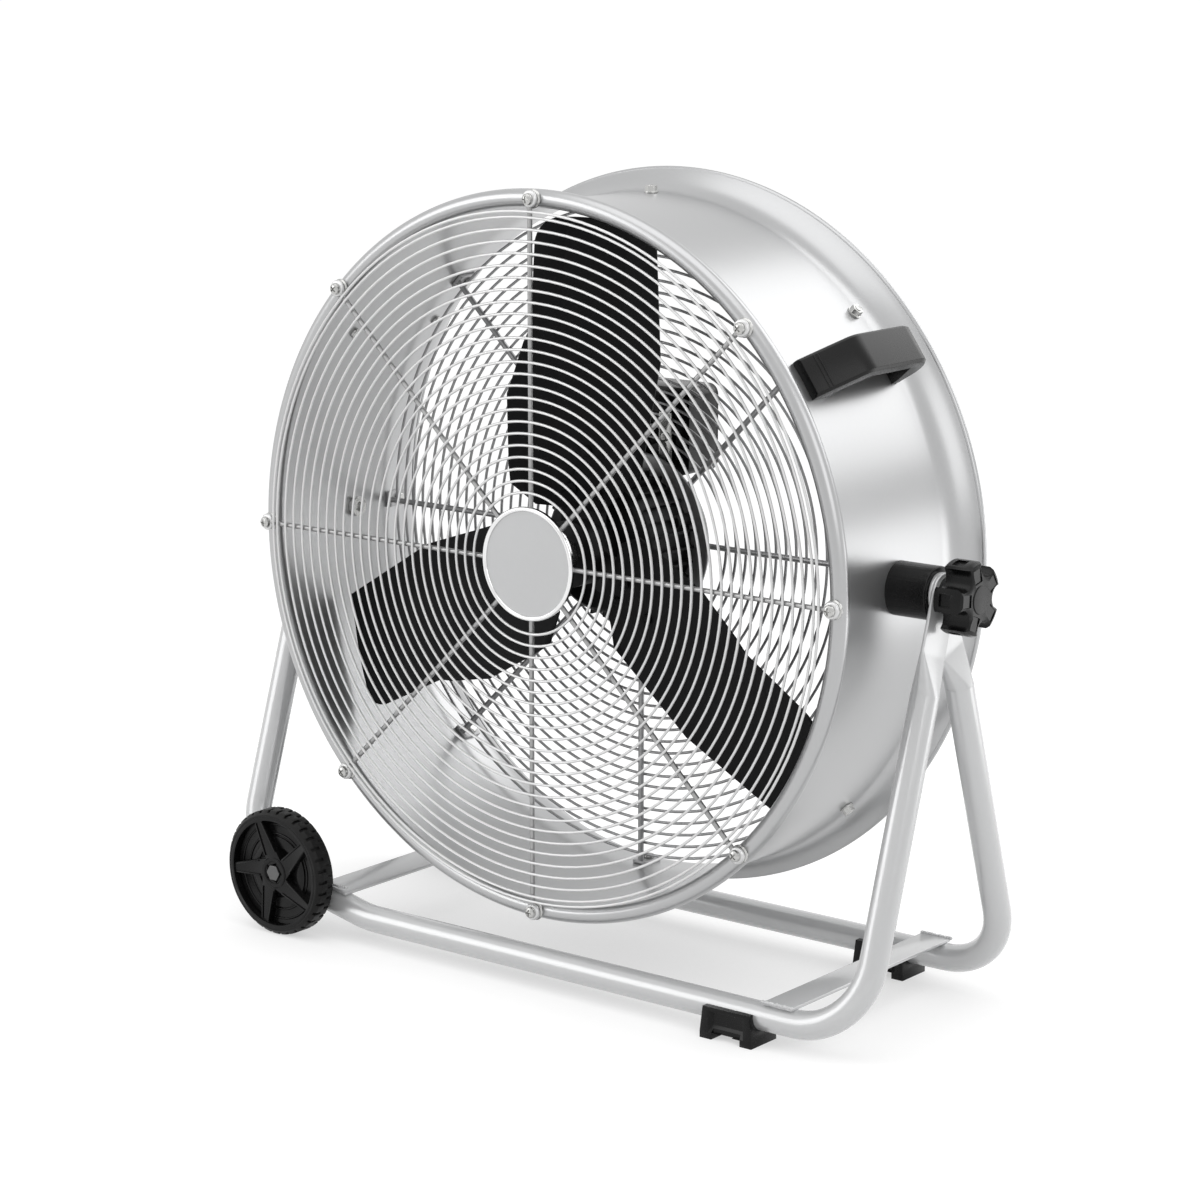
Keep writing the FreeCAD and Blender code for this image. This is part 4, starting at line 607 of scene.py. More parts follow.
def carved(name: str, mesh: bpy.types.Mesh, cutters: Iterable[bpy.types.Mesh]) -> bpy.types.Mesh:
    """Mesh with other solids cut out of it.

    Args:
        name: Name of the result.
        mesh: Mesh to cut.
        cutters: Solids to take away.

    Returns:
        What is left.
    """
    tools = [placed(f"{name}_tool", cutter) for cutter in cutters]
    cuts = [("BOOLEAN", {"operation": "DIFFERENCE", "object": tool, "solver": "EXACT"})
            for tool in tools]
    made = settled(name, mesh, *cuts)
    for tool in tools:
        bpy.data.objects.remove(tool)
    return made


def loft(name: str, rings: Sequence[Sequence[Vector]]) -> bpy.types.Mesh:
    """Closed skin over rings of points that match one to one.

    Args:
        name: Name of the mesh.
        rings: Rings from one end to the other, with the same number of points.

    Returns:
        The skin, capped at both ends.
    """
    work = bmesh.new()
    rows = [[work.verts.new(point) for point in ring] for ring in rings]
    for row, following in zip(rows, rows[1:]):
        for index in range(len(row)):
            work.faces.new((row[index - 1], row[index], following[index], following[index - 1]))
    work.faces.new(rows[0])
    work.faces.new(rows[-1])
    return plain_mesh(name, work, mend=True)


class Tree:
    """Geometry node tree under construction, with named inputs."""

    def __init__(self, name: str) -> None:
        """Start an empty tree with a geometry input and output.

        Args:
            name: Name of the tree.
        """
        self.tree = bpy.data.node_groups.new(name, "GeometryNodeTree")
        group_socket(self.tree, "Geometry", "Geometry")
        group_socket(self.tree, "Geometry", "Geometry", output=True)
        self.given = self.tree.nodes.new("NodeGroupInput")
        self.result = self.tree.nodes.new("NodeGroupOutput")

    def input(self, name: str, kind: str = "Float") -> bpy.types.NodeSocket:
        """Add a named input and return its socket inside the tree."""
        group_socket(self.tree, name, kind)
        return self.given.outputs[name]

    def node(self, kind: str, links: dict | None = None, outlet: int | str = 0,
             **settings: object) -> bpy.types.NodeSocket:
        """Add a node.

        Args:
            kind: Node type.
            links: Input name or number to a socket or a plain value.
            outlet: Output to return.
            settings: Plain properties of the node.

        Returns:
            The chosen output socket.
        """
        made = self.tree.nodes.new(kind)
        for name, value in settings.items():
            setattr(made, name, value)
        fill(self.tree, made, links or {})
        return made.outputs[outlet]

    def math(self, operation: str, a: object, b: object = 0.0) -> bpy.types.NodeSocket:
        """Arithmetic on two sockets or numbers."""
        return self.node("ShaderNodeMath", {0: a, 1: b}, operation=operation)

    def close(self, geometry: bpy.types.NodeSocket, material: bpy.types.NodeSocket,
              smooth: bool = True) -> None:
        """Realize the instances, set the material and close the tree.

        Args:
            geometry: What the tree has made.
            material: Its material.
            smooth: Whether it is shaded smooth.
        """
        if smooth:
            geometry = self.node("GeometryNodeSetShadeSmooth", {"Geometry": geometry})
        real = self.node("GeometryNodeRealizeInstances", {"Geometry": geometry})
        painted = self.node("GeometryNodeSetMaterial", {"Geometry": real, "Material": material})
        self.tree.links.new(painted, self.result.inputs["Geometry"])

    def sweep(self, curves: bpy.types.NodeSocket, wire: bpy.types.NodeSocket, steps: int,
              material: bpy.types.NodeSocket, caps: bool = False) -> None:
        """Run a round wire along instances of a curve and close the tree.

        Args:
            curves: The instances.
            wire: Radius of the wire.
            steps: Number of steps round the wire.
            material: Its material.
            caps: Whether its ends are closed.
        """
        real = self.node("GeometryNodeRealizeInstances", {"Geometry": curves})
        section = self.node("GeometryNodeCurvePrimitiveCircle",
                            {"Resolution": steps, "Radius": wire})
        swept = self.node("GeometryNodeCurveToMesh",
                          {"Curve": real, "Profile Curve": section, "Fill Caps": caps})
        self.close(swept, material)

    def run(self, name: str, finish: Finish, place: Matrix, **values: object) -> bpy.types.Mesh:
        """Evaluate the tree once and return a plain mesh.

        Args:
            name: Name of the mesh.
            finish: Finish of the mesh.
            place: Matrix that carries the result into the frame of the object.
            values: Input name in small letters to its value.

        Returns:
            The finished mesh.
        """
        values["material"] = finish.material()
        carrier = placed(name, bpy.data.meshes.new(name))
        modifier = carrier.modifiers.new(name, "NODES")
        modifier.node_group = self.tree
        for item in self.tree.interface.items_tree:
            if item.in_out == "INPUT" and item.name.lower() in values:
                modifier[item.identifier] = values[item.name.lower()]
        mesh = baked(name, carrier)
        mesh.transform(place)
        return mesh


# Steps round a ring, steps round ring and spoke wire, and the detail and sizes of weld pools.
RING_STEPS = 128
RING_WIRE_STEPS, SPOKE_WIRE_STEPS = 8, 12
POOL_DETAIL = 2
POOL_LEAST, POOL_MOST = (0.8, 0.8, 0.7), (1.15, 1.15, 1.0)


def ring_tree() -> Tree:
    """Concentric round wires: count, outer radius, pitch, wire radius and level along the axis.

    Returns:
        The tree.
    """
    tree = Tree("wire_rings")
    count, outer, pitch = tree.input("Count", "Int"), tree.input("Outer"), tree.input("Pitch")
    wire, level, material = (tree.input("Wire"), tree.input("Level"),
                             tree.input("Material", "Material"))
    spot = tree.node("ShaderNodeCombineXYZ", {"Z": level})
    points = tree.node("GeometryNodeMeshLine",
                       {"Count": count, "Start Location": spot, "Offset": (0, 0, 0)})
    drawn_in = tree.math("MULTIPLY", tree.node("GeometryNodeInputIndex"), pitch)
    radius = tree.math("SUBTRACT", outer, drawn_in)
    size = tree.node("ShaderNodeCombineXYZ", {"X": radius, "Y": radius, "Z": 1.0})
    circle = tree.node("GeometryNodeCurvePrimitiveCircle",
                       {"Resolution": RING_STEPS, "Radius": 1.0})
    stack = tree.node("GeometryNodeInstanceOnPoints",
                      {"Points": points, "Instance": circle, "Scale": size})
    tree.sweep(stack, wire, RING_WIRE_STEPS, material)
    return tree


def spoke_tree() -> Tree:
    """Evenly turned straight wires: count, start and end radius, wire radius and axial level.

    Returns:
        The tree.
    """
    tree = Tree("wire_spokes")
    count, start, end = tree.input("Count", "Int"), tree.input("Start"), tree.input("End")
    wire, level, material = (tree.input("Wire"), tree.input("Level"),
                             tree.input("Material", "Material"))
    points = tree.node("GeometryNodeMeshLine", {"Count": count, "Offset": (0, 0, 0)})
    step = tree.math("DIVIDE", TURN, count)
    turn = tree.math("MULTIPLY", tree.node("GeometryNodeInputIndex"), step)
    spin = tree.node("ShaderNodeCombineXYZ", {"Z": turn})
    near = tree.node("ShaderNodeCombineXYZ", {"X": start, "Z": level})
    far = tree.node("ShaderNodeCombineXYZ", {"X": end, "Z": level})
    line = tree.node("GeometryNodeCurvePrimitiveLine", {"Start": near, "End": far})
    star = tree.node("GeometryNodeInstanceOnPoints",
                     {"Points": points, "Instance": line, "Rotation": spin})
    tree.sweep(star, wire, SPOKE_WIRE_STEPS, material, caps=True)
    return tree


def polar_tree() -> Tree:
    """Copies of one mesh on a circle: count, step and first angle, radius, level and the object.

    Returns:
        The tree.
    """
    tree = Tree("polar_copies")
    count, step, first = tree.input("Count", "Int"), tree.input("Step"), tree.input("First")
    radius, level = tree.input("Radius"), tree.input("Level")
    item, material = tree.input("Item", "Object"), tree.input("Material", "Material")
    points = tree.node("GeometryNodeMeshLine", {"Count": count, "Offset": (0, 0, 0)})
    turned = tree.math("MULTIPLY", tree.node("GeometryNodeInputIndex"), step)
    turn = tree.math("ADD", turned, first)
    spot = tree.node("ShaderNodeCombineXYZ", {
        "X": tree.math("MULTIPLY", tree.math("COSINE", turn), radius),
        "Y": tree.math("MULTIPLY", tree.math("SINE", turn), radius), "Z": level})
    placed_at = tree.node("GeometryNodeSetPosition", {"Geometry": points, "Position": spot})
    source = tree.node("GeometryNodeObjectInfo", {"Object": item}, "Geometry")
    spin = tree.node("ShaderNodeCombineXYZ", {"Z": turn})
    copies = tree.node("GeometryNodeInstanceOnPoints",
                       {"Points": placed_at, "Instance": source, "Rotation": spin})
    tree.close(copies, material, smooth=False)
    return tree


def weld_tree() -> Tree:
    """A run of overlapping weld pools: start and end point, count, pool radius and a fixed seed.

    Returns:
        The tree.
    """
    tree = Tree("weld_run")
    start, end = tree.input("Start", "Vector"), tree.input("End", "Vector")
    count, radius, seed = (tree.input("Count", "Int"), tree.input("Radius"),
                           tree.input("Seed", "Int"))
    material = tree.input("Material", "Material")
    points = tree.node("GeometryNodeMeshLine",
                       {"Count": count, "Start Location": start, "Offset": end}, mode="END_POINTS")
    pool = tree.node("GeometryNodeMeshIcoSphere", {"Radius": radius, "Subdivisions": POOL_DETAIL})
    size = tree.node("FunctionNodeRandomValue",
                     {"Min": POOL_LEAST, "Max": POOL_MOST, "Seed": seed}, data_type="FLOAT_VECTOR")
    run = tree.node("GeometryNodeInstanceOnPoints",
                    {"Points": points, "Instance": pool, "Scale": size})
    tree.close(run, material)
    return tree


def polar_copies(name: str, mesh: bpy.types.Mesh, finish: Finish, count: int, radius: float,
                 level: float, place: Matrix, first: float = 0.0,
                 step: float | None = None) -> bpy.types.Mesh:
    """Copies of a mesh on a circle about an axis, through the polar tree.

    Args:
        name: Name of the result.
        mesh: Mesh to repeat, about its own Z.
        finish: Finish of the copies.
        count: Number of copies.
        radius: Circle radius in metres.
        level: Height along the axis in metres.
        place: Frame of the circle.
        first: Angle of the first copy in radians.
        step: Angle between copies in radians, or None for an even full circle.

    Returns:
        One mesh with every copy.
    """
    item = placed(f"{name}_item", mesh)
    made = polar_tree().run(name, finish, place, count=count, radius=radius, level=level,
                            first=first, step=TURN / count if step is None else step, item=item)
    bpy.data.objects.remove(item)
    return made


# Outline of a domed screw head in shares of its radius and height, and the size of its cross.
DOME = ((0.0, 0.0), (1.0, 0.0), (1.0, 0.3), (0.92, 0.62), (0.7, 0.86), (0.4, 0.97), (0.0, 1.0))
CROSS_ARM, CROSS_HALF, CROSS_FLOOR = 0.62, 0.13, 0.45
SCREW_STEPS = 32


def cross_screw(name: str, radius: float, height: float, finish: Finish) -> bpy.types.Mesh:
    """Domed screw head with a cross recess, standing on its own origin.

    Args:
        name: Name of the mesh.
        radius: Head radius.
        height: Head height.
        finish: Finish of the head.

    Returns:
        The head.
    """
    dome = [(out * radius, rise * height) for out, rise in DOME]
    head = lathe(name, dome, finish, HERE, SCREW_STEPS)
    arm, half, floor = CROSS_ARM * radius, CROSS_HALF * radius, CROSS_FLOOR * height
    quarter = [(half, half), (half, arm), (-half, arm)]
    outline = [Matrix.Rotation(turn * TURN / 4, 2) @ Vector(point)
               for turn in range(4) for point in quarter]
    work = bmesh.new()
    face = work.faces.new([work.verts.new((*point, floor)) for point in outline])
    raised = bmesh.ops.extrude_face_region(work, geom=[face])["geom"]
    corners = [item for item in raised if isinstance(item, bmesh.types.BMVert)]
    bmesh.ops.translate(work, verts=corners, vec=(0, 0, height))
    return shade(carved(name, head, (plain_mesh(f"{name}_cross", work, mend=True),)))


@dataclass
class SubAssembly:
    """Pieces that belong together; the base of every sub-assembly."""

    def build(self) -> None:
        """Make and dress the pieces of the sub-assembly."""
        raise NotImplementedError

    def add(self, name: str, mesh: bpy.types.Mesh, body: str, *nodes: str) -> bpy.types.Object:
        """Link a finished mesh as a piece that rides a body and stands for CAD nodes.

        Args:
            name: Piece name.
            mesh: Mesh in the frame of the object, with its materials.
            body: Body that the piece rides on.
            nodes: CAD nodes that the piece stands for.

        Returns:
            The piece.
        """
        piece = placed(name, mesh)
        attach(piece, body)
        if nodes:
            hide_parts(*nodes)
        LOG.info("%s: %d faces on %s", name, len(mesh.polygons), body)
        return piece

    def skin(self, finish: Finish, bevel: float, *nodes: str) -> None:
        """Put a smooth skin in the place of each node.

        Args:
            finish: Finish of the skins.
            bevel: Width of their broken edges, or zero.
            nodes: CAD nodes.
        """
        for node in nodes:
            mesh = coated(node_skin(node, bevel), finish)
            self.add(f"{node}_skin", mesh, body_of(node), node)

    def paint(self, finish: Finish, *nodes: str) -> None:
        """Give CAD nodes that stay as they are their finish.

        Args:
            finish: Finish of the nodes.
            nodes: CAD nodes.
        """
        for node in nodes:
            coated(frame["nodes"][node].data, finish)
            LOG.info("%s: painted", node)


@dataclass
class Drum(SubAssembly):
    """Rolled sheet drum with a round front bead, a flared rear mouth and the nuts outside it."""

    bore: float = 0.311
    wall: float = 0.0015
    front_bead: float = 0.008
    rear_bead: float = 0.003
    flare_start: float = -0.066
    flare_bend: float = 0.042
    flare_lap: float = 1.5
    mouth_sweep: tuple[float, float] = (75, -255)
    edge: float = 0.3 * MM
    steps: int = 224
    front_steps: int = 40
    flare_steps: int = 16
    mouth_steps: int = 20
    half_depth: float = field(default_factory=lambda: reach("drum_shell", Axis.Y))

    def build(self) -> None:
        """Turn the shell and dress the nuts and bolts of the rear lugs."""
        shell = lathe("drum_shell_turned", self.profile(), DRUM_PAINT, FAN_FRAME, self.steps)
        self.add("drum_shell_turned", shell, "drum", "drum_shell")
        self.skin(ZINC, self.edge, "lug_nuts", "lug_bolts")

    def profile(self) -> Profile:
        """Closed outline of the sheet from the front bead to the rear bead and back.

        Returns:
            Points of radius and depth.
        """
        outside = self.bore + self.wall
        rim = (self.bore + self.front_bead, self.half_depth - self.front_bead)
        meet = math.degrees(math.acos((self.front_bead - self.wall) / self.front_bead)) - 180
        mouth = (outside + self.lip() - self.wall / 2, self.rear_bead - self.half_depth)
        bend = (outside + self.flare_bend, self.flare_start)
        turn = 180 + math.degrees(math.acos(1 - self.lip() / self.flare_bend))
        points = arc(rim, self.front_bead, 180, meet, self.front_steps)
        points += arc(bend, self.flare_bend, 180, turn, self.flare_steps)
        points += arc(mouth, self.rear_bead, *self.mouth_sweep, self.mouth_steps)
        points += arc(bend, self.flare_bend + self.wall, turn - self.flare_lap, 180,
                      self.flare_steps)
        return points + points[:1]

    def lip(self) -> float:
        """How far the outside of the flare rises above the drum's outside, before its bead."""
        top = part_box("drum_shell")[1][Axis.Z.value] - joint_spot("drum_tilt").z
        return top - self.rear_bead + self.wall / 2 - self.bore - self.wall


@dataclass
class FrontGuard(SubAssembly):
    """Front guard of round wire with screws, washers and the bare centre badge."""

    wire: float = 0.00125
    spoke_wire: float = 0.00225
    level: float = 0.1150
    spoke_level: float = 0.11175
    outer_rings: int = 2
    outer_ring: float = 0.3085
    outer_pitch: float = 0.0049
    ring: float = 0.2932
    pitch: float = 0.01046
    rings: int = 23
    screw_circle: float = 0.319
    screw_head: float = 0.0052
    screw_height: float = 0.0044
    eyelet: float = 0.0078
    eyelet_steps: int = 32
    fixings: int = 8
    plate: float = 0.042
    spoke_lap: float = 0.8
    badge: float = 0.051
    badge_rim: float = 0.0045
    badge_base: float = 0.114
    badge_height: float = 0.005
    badge_dish: float = 0.002
    badge_steps: int = 128
    rim_steps: int = 14
    rim_sunk: float = 0.2
    face_flat: float = 0.5
    face_bend: tuple[float, float] = (0.4, 0.15)
    face_crown: float = 0.2

    def build(self) -> None:
        """Make the wires, the screws and the badge."""
        self.add("front_guard_wires", self.wires(), "drum", "front_guard")
        self.skin(ZINC, 0.0, "guard_washers")
        head = cross_screw("guard_screw_head", self.screw_head, self.screw_height, ZINC)
        heads = polar_copies("guard_screw_heads", head, ZINC, self.fixings, self.screw_circle,
                             self.badge_base, FAN_FRAME)
        self.add("guard_screw_heads", heads, "drum", "guard_screws")
        self.add("guard_badge_disc", self.disc(), "drum", "guard_badge")
        self.paint(ZINC, "badge_screw")

    def wires(self) -> bpy.types.Mesh:
        """Rings over spokes, with an eyelet at each spoke's end and a plate at the middle.

        Returns:
            The welded guard.
        """
        rings, low, high = ring_tree(), self.spoke_level, self.badge_base
        groups = (("outer_rings", self.outer_rings, self.outer_ring, self.outer_pitch),
                  ("inner_rings", self.rings, self.ring, self.pitch))
        parts = [rings.run(name, GUARD_WIRE, FAN_FRAME, count=count, outer=outer, pitch=pitch,
                           wire=self.wire, level=self.level)
                 for name, count, outer, pitch in groups]
        parts.append(spoke_tree().run(
            "front_spokes", SPOKE_WIRE, FAN_FRAME, count=self.fixings,
            start=self.spoke_lap * self.plate,
            end=self.screw_circle - self.spoke_lap * self.eyelet,
            wire=self.spoke_wire, level=low))
        section = arc((self.eyelet - self.spoke_wire, 0.0), self.spoke_wire, 0, 360)
        eyelet = lathe("eyelet", section, GUARD_WIRE, HERE, self.eyelet_steps)
        parts.append(polar_copies("eyelets", eyelet, GUARD_WIRE, self.fixings, self.screw_circle,
                                  low, FAN_FRAME))
        plate = [(0.0, low), (self.plate, low), (self.plate, high), (0.0, high)]
        parts.append(lathe("hub_plate", plate, SPOKE_WIRE, FAN_FRAME))
        return join_meshes("front_guard_wires", parts)

    def disc(self) -> bpy.types.Mesh:
        """Badge with a polished round rim and a bare satin face.

        Returns:
            The disc.
        """
        top, half = self.badge_base + self.badge_height, self.badge_rim / 2
        face, inner = top - self.badge_dish, self.badge - self.badge_rim
        bead, sunk = (self.badge - half, top - half), self.rim_sunk * half
        rim = [(inner - half, self.badge_base), (self.badge - sunk, self.badge_base),
               (self.badge, bead[1])]
        rim += arc(bead, half, 0, 180, self.rim_steps)[1:] + [(inner, face - sunk)]
        bend, rise = self.face_bend
        satin = [(inner, face), (inner - self.face_flat * half, face),
                 (bend * inner, face + rise * half), (0.0, face + self.face_crown * half)]
        turned = (("badge_rim", rim, BADGE_RIM), ("badge_face", satin, BADGE_FACE))
        return join_meshes("guard_badge_disc", [
            lathe(name, outline, finish, FAN_FRAME, self.badge_steps)
            for name, outline, finish in turned])


@dataclass
class RearGuard(SubAssembly):
    """Rear guard of round wire on a motor plate, with the lugs that bolt it into the drum."""

    wire: float = 0.0014
    spoke_wire: float = 0.00275
    level: float = -0.0511
    spoke_level: float = -0.0475
    ring: float = 0.302
    pitch: float = 0.011
    rings: int = 20
    spokes: int = 8
    plate: float = 0.079
    plate_bore: float = 0.040
    plate_front: float = -0.04225
    plate_back: float = -0.04525
    plate_steps: int = 96
    spoke_start: float = 0.0595
    spoke_end: float = 0.3085
    lug_edge: float = 0.5 * MM

    def build(self) -> None:
        """Make the wires, the motor plate and the lugs."""
        rings = ring_tree().run("rear_rings", REAR_WIRE, FAN_FRAME, count=self.rings,
                                outer=self.ring, pitch=self.pitch, wire=self.wire,
                                level=self.level)
        star = spoke_tree().run("rear_spokes", REAR_WIRE, FAN_FRAME, count=self.spokes,
                                start=self.spoke_start, end=self.spoke_end,
                                wire=self.spoke_wire, level=self.spoke_level)
        edge = (self.plate_front - self.plate_back) / 4
        outline = [(self.plate_bore, self.plate_back), (self.plate - edge, self.plate_back),
                   (self.plate, self.plate_back + edge), (self.plate, self.plate_front - edge),
                   (self.plate - edge, self.plate_front), (self.plate_bore, self.plate_front)]
        plate = lathe("motor_plate", outline + outline[:1], REAR_WIRE, FAN_FRAME,
                      self.plate_steps)
        wires = join_meshes("rear_guard_wires", (rings, star, plate))
        self.add("rear_guard_wires", wires, "drum", "rear_guard")
        self.skin(REAR_WIRE, self.lug_edge, "guard_lugs")


@dataclass
class Fan(SubAssembly):
    """Three pressed blades on their hub."""

    edge: float = 0.3 * MM
    hub_edge: float = 0.6 * MM

    def build(self) -> None:
        """Dress the blades, the hub and what holds them."""
        self.skin(BLADE_PAINT, 0.0, "blade_1", "blade_2", "blade_3", "blade_rivets")
        self.skin(MOTOR_PAINT, self.hub_edge, "fan_hub")
        self.skin(ZINC, self.edge, "hub_nut")
        self.skin(STEEL, 0.0, "motor_shaft")
        self.paint(STEEL, "rotor_core")


@dataclass
class Motor(SubAssembly):
    """Finned motor with its rear cover, bolts and the works inside."""

    edge: float = 0.4 * MM

    def build(self) -> None:
        """Dress the housing and paint what is inside it."""
        self.skin(MOTOR_PAINT, self.edge, "motor_housing", "motor_rear_cover")
        self.skin(ZINC, self.edge, "motor_bolts", "cover_screws")
        self.skin(BLACK_PLASTIC, 0.0, "lead_bush")
        self.paint(STEEL, "stator_core", "front_bearing", "rear_bearing")
        self.paint(COPPER, "stator_windings")


@dataclass
class ControlBox(SubAssembly):
    """Switch box behind the guard, with its dial, marks, gland and clamps."""

    edge: float = 1.2 * MM
    lid_edge: float = 0.84 * MM
    fine_edge: float = 0.36 * MM
    mark_circle: float = 0.0215
    mark_length: float = 0.005
    mark_width: float = 0.0014
    mark_height: float = 0.3 * MM
    mark_edge: float = 0.1 * MM
    marks: int = 4
    mark_step: float = math.radians(45)

    def build(self) -> None:
        """Dress the box and add the setting marks."""
        self.skin(BLACK_PLASTIC, self.edge, "control_box")
        self.skin(BLACK_PLASTIC, self.lid_edge, "control_box_lid", "speed_dial")
        self.skin(BLACK_PLASTIC, self.fine_edge, "cable_gland")
        self.skin(ZINC, self.fine_edge, "box_clamps", "lid_screws", "clamp_screws")
        self.paint(BLACK_PLASTIC, "speed_switch")
        self.paint(STEEL, "run_capacitor")
        self.setting_marks()

    def setting_marks(self) -> None:
        """One plain bar for off and for each speed, round the dial."""
        spot = joint_spot("speed_dial_turn")
        spot.y = reach("control_box_lid", Axis.Y)
        place = Matrix.Translation(spot) @ Matrix.Rotation(-math.pi / 2, 4, "X")
        size = (self.mark_length, self.mark_width, self.mark_height)
        bar = block("setting_mark", size, MARK_WHITE, HERE, self.mark_edge)
        marks = polar_copies("setting_marks", bar, MARK_WHITE, self.marks, self.mark_circle, 0.0,
                             place, -math.pi / 2, self.mark_step)
        self.add("setting_marks", marks, "drum")


@dataclass
class Handles(SubAssembly):
    """Two moulded strap handles screwed to the drum, with a ribbed seam on the sloped end."""

    edge: float = 1.4 * MM
    screw_edge: float = 0.28 * MM
    angle: float = math.radians(34.9)
    seat: float = 0.3125
    width: float = 0.0312
    slope_low: tuple[float, float] = (0.067, 0.008)
    slope_high: tuple[float, float] = (0.027, 0.041)
    seam: float = 0.012
    rib: float = 0.0015
    rib_gap: float = 0.0034
    rib_edge: float = 0.4 * MM
    rib_count: int = 2

    def build(self) -> None:
        """Dress the handles and their screws and lay the seam ribs."""
        self.skin(BLACK_GRIP, self.edge, "right_handle", "left_handle")
        self.skin(ZINC, self.screw_edge, "handle_screws")
        for side, angle, ahead in (("right", self.angle, 1), ("left", math.pi - self.angle, -1)):
            self.add(f"{side}_handle_seam", self.ribs(side, angle, ahead), "drum")

    def ribs(self, side: str, angle: float, ahead: int) -> bpy.types.Mesh:
        """Thin ribs across the sloped end of one handle.

        Args:
            side: Side of the drum, for the name.
            angle: Place of the handle round the drum.
            ahead: 1 where the sloped end points forward, otherwise -1.

        Returns:
            The ribs.
        """
        radial = Vector((math.cos(angle), 0, math.sin(angle)))
        forward = Vector((0, -ahead, 0))
        axes = Matrix((forward, radial.cross(forward), radial)).transposed().to_4x4()
        seat = Matrix.Translation(joint_spot("drum_tilt") + radial * self.seat) @ axes
        low, high = Vector(self.slope_low), Vector(self.slope_high)
        along = (high - low).normalized()
        lean = Matrix.Rotation(math.atan2(-along.y, along.x), 4, "Y")
        size, bars = (self.rib, self.width, self.rib), []
        for index in range(self.rib_count):
            spot = low + along * (self.seam + index * self.rib_gap)
            place = seat @ Matrix.Translation((spot.x, 0, spot.y)) @ lean
            bars.append(block("seam_rib", size, BLACK_GRIP, place, self.rib_edge))
        return join_meshes(f"{side}_handle_seam", bars)


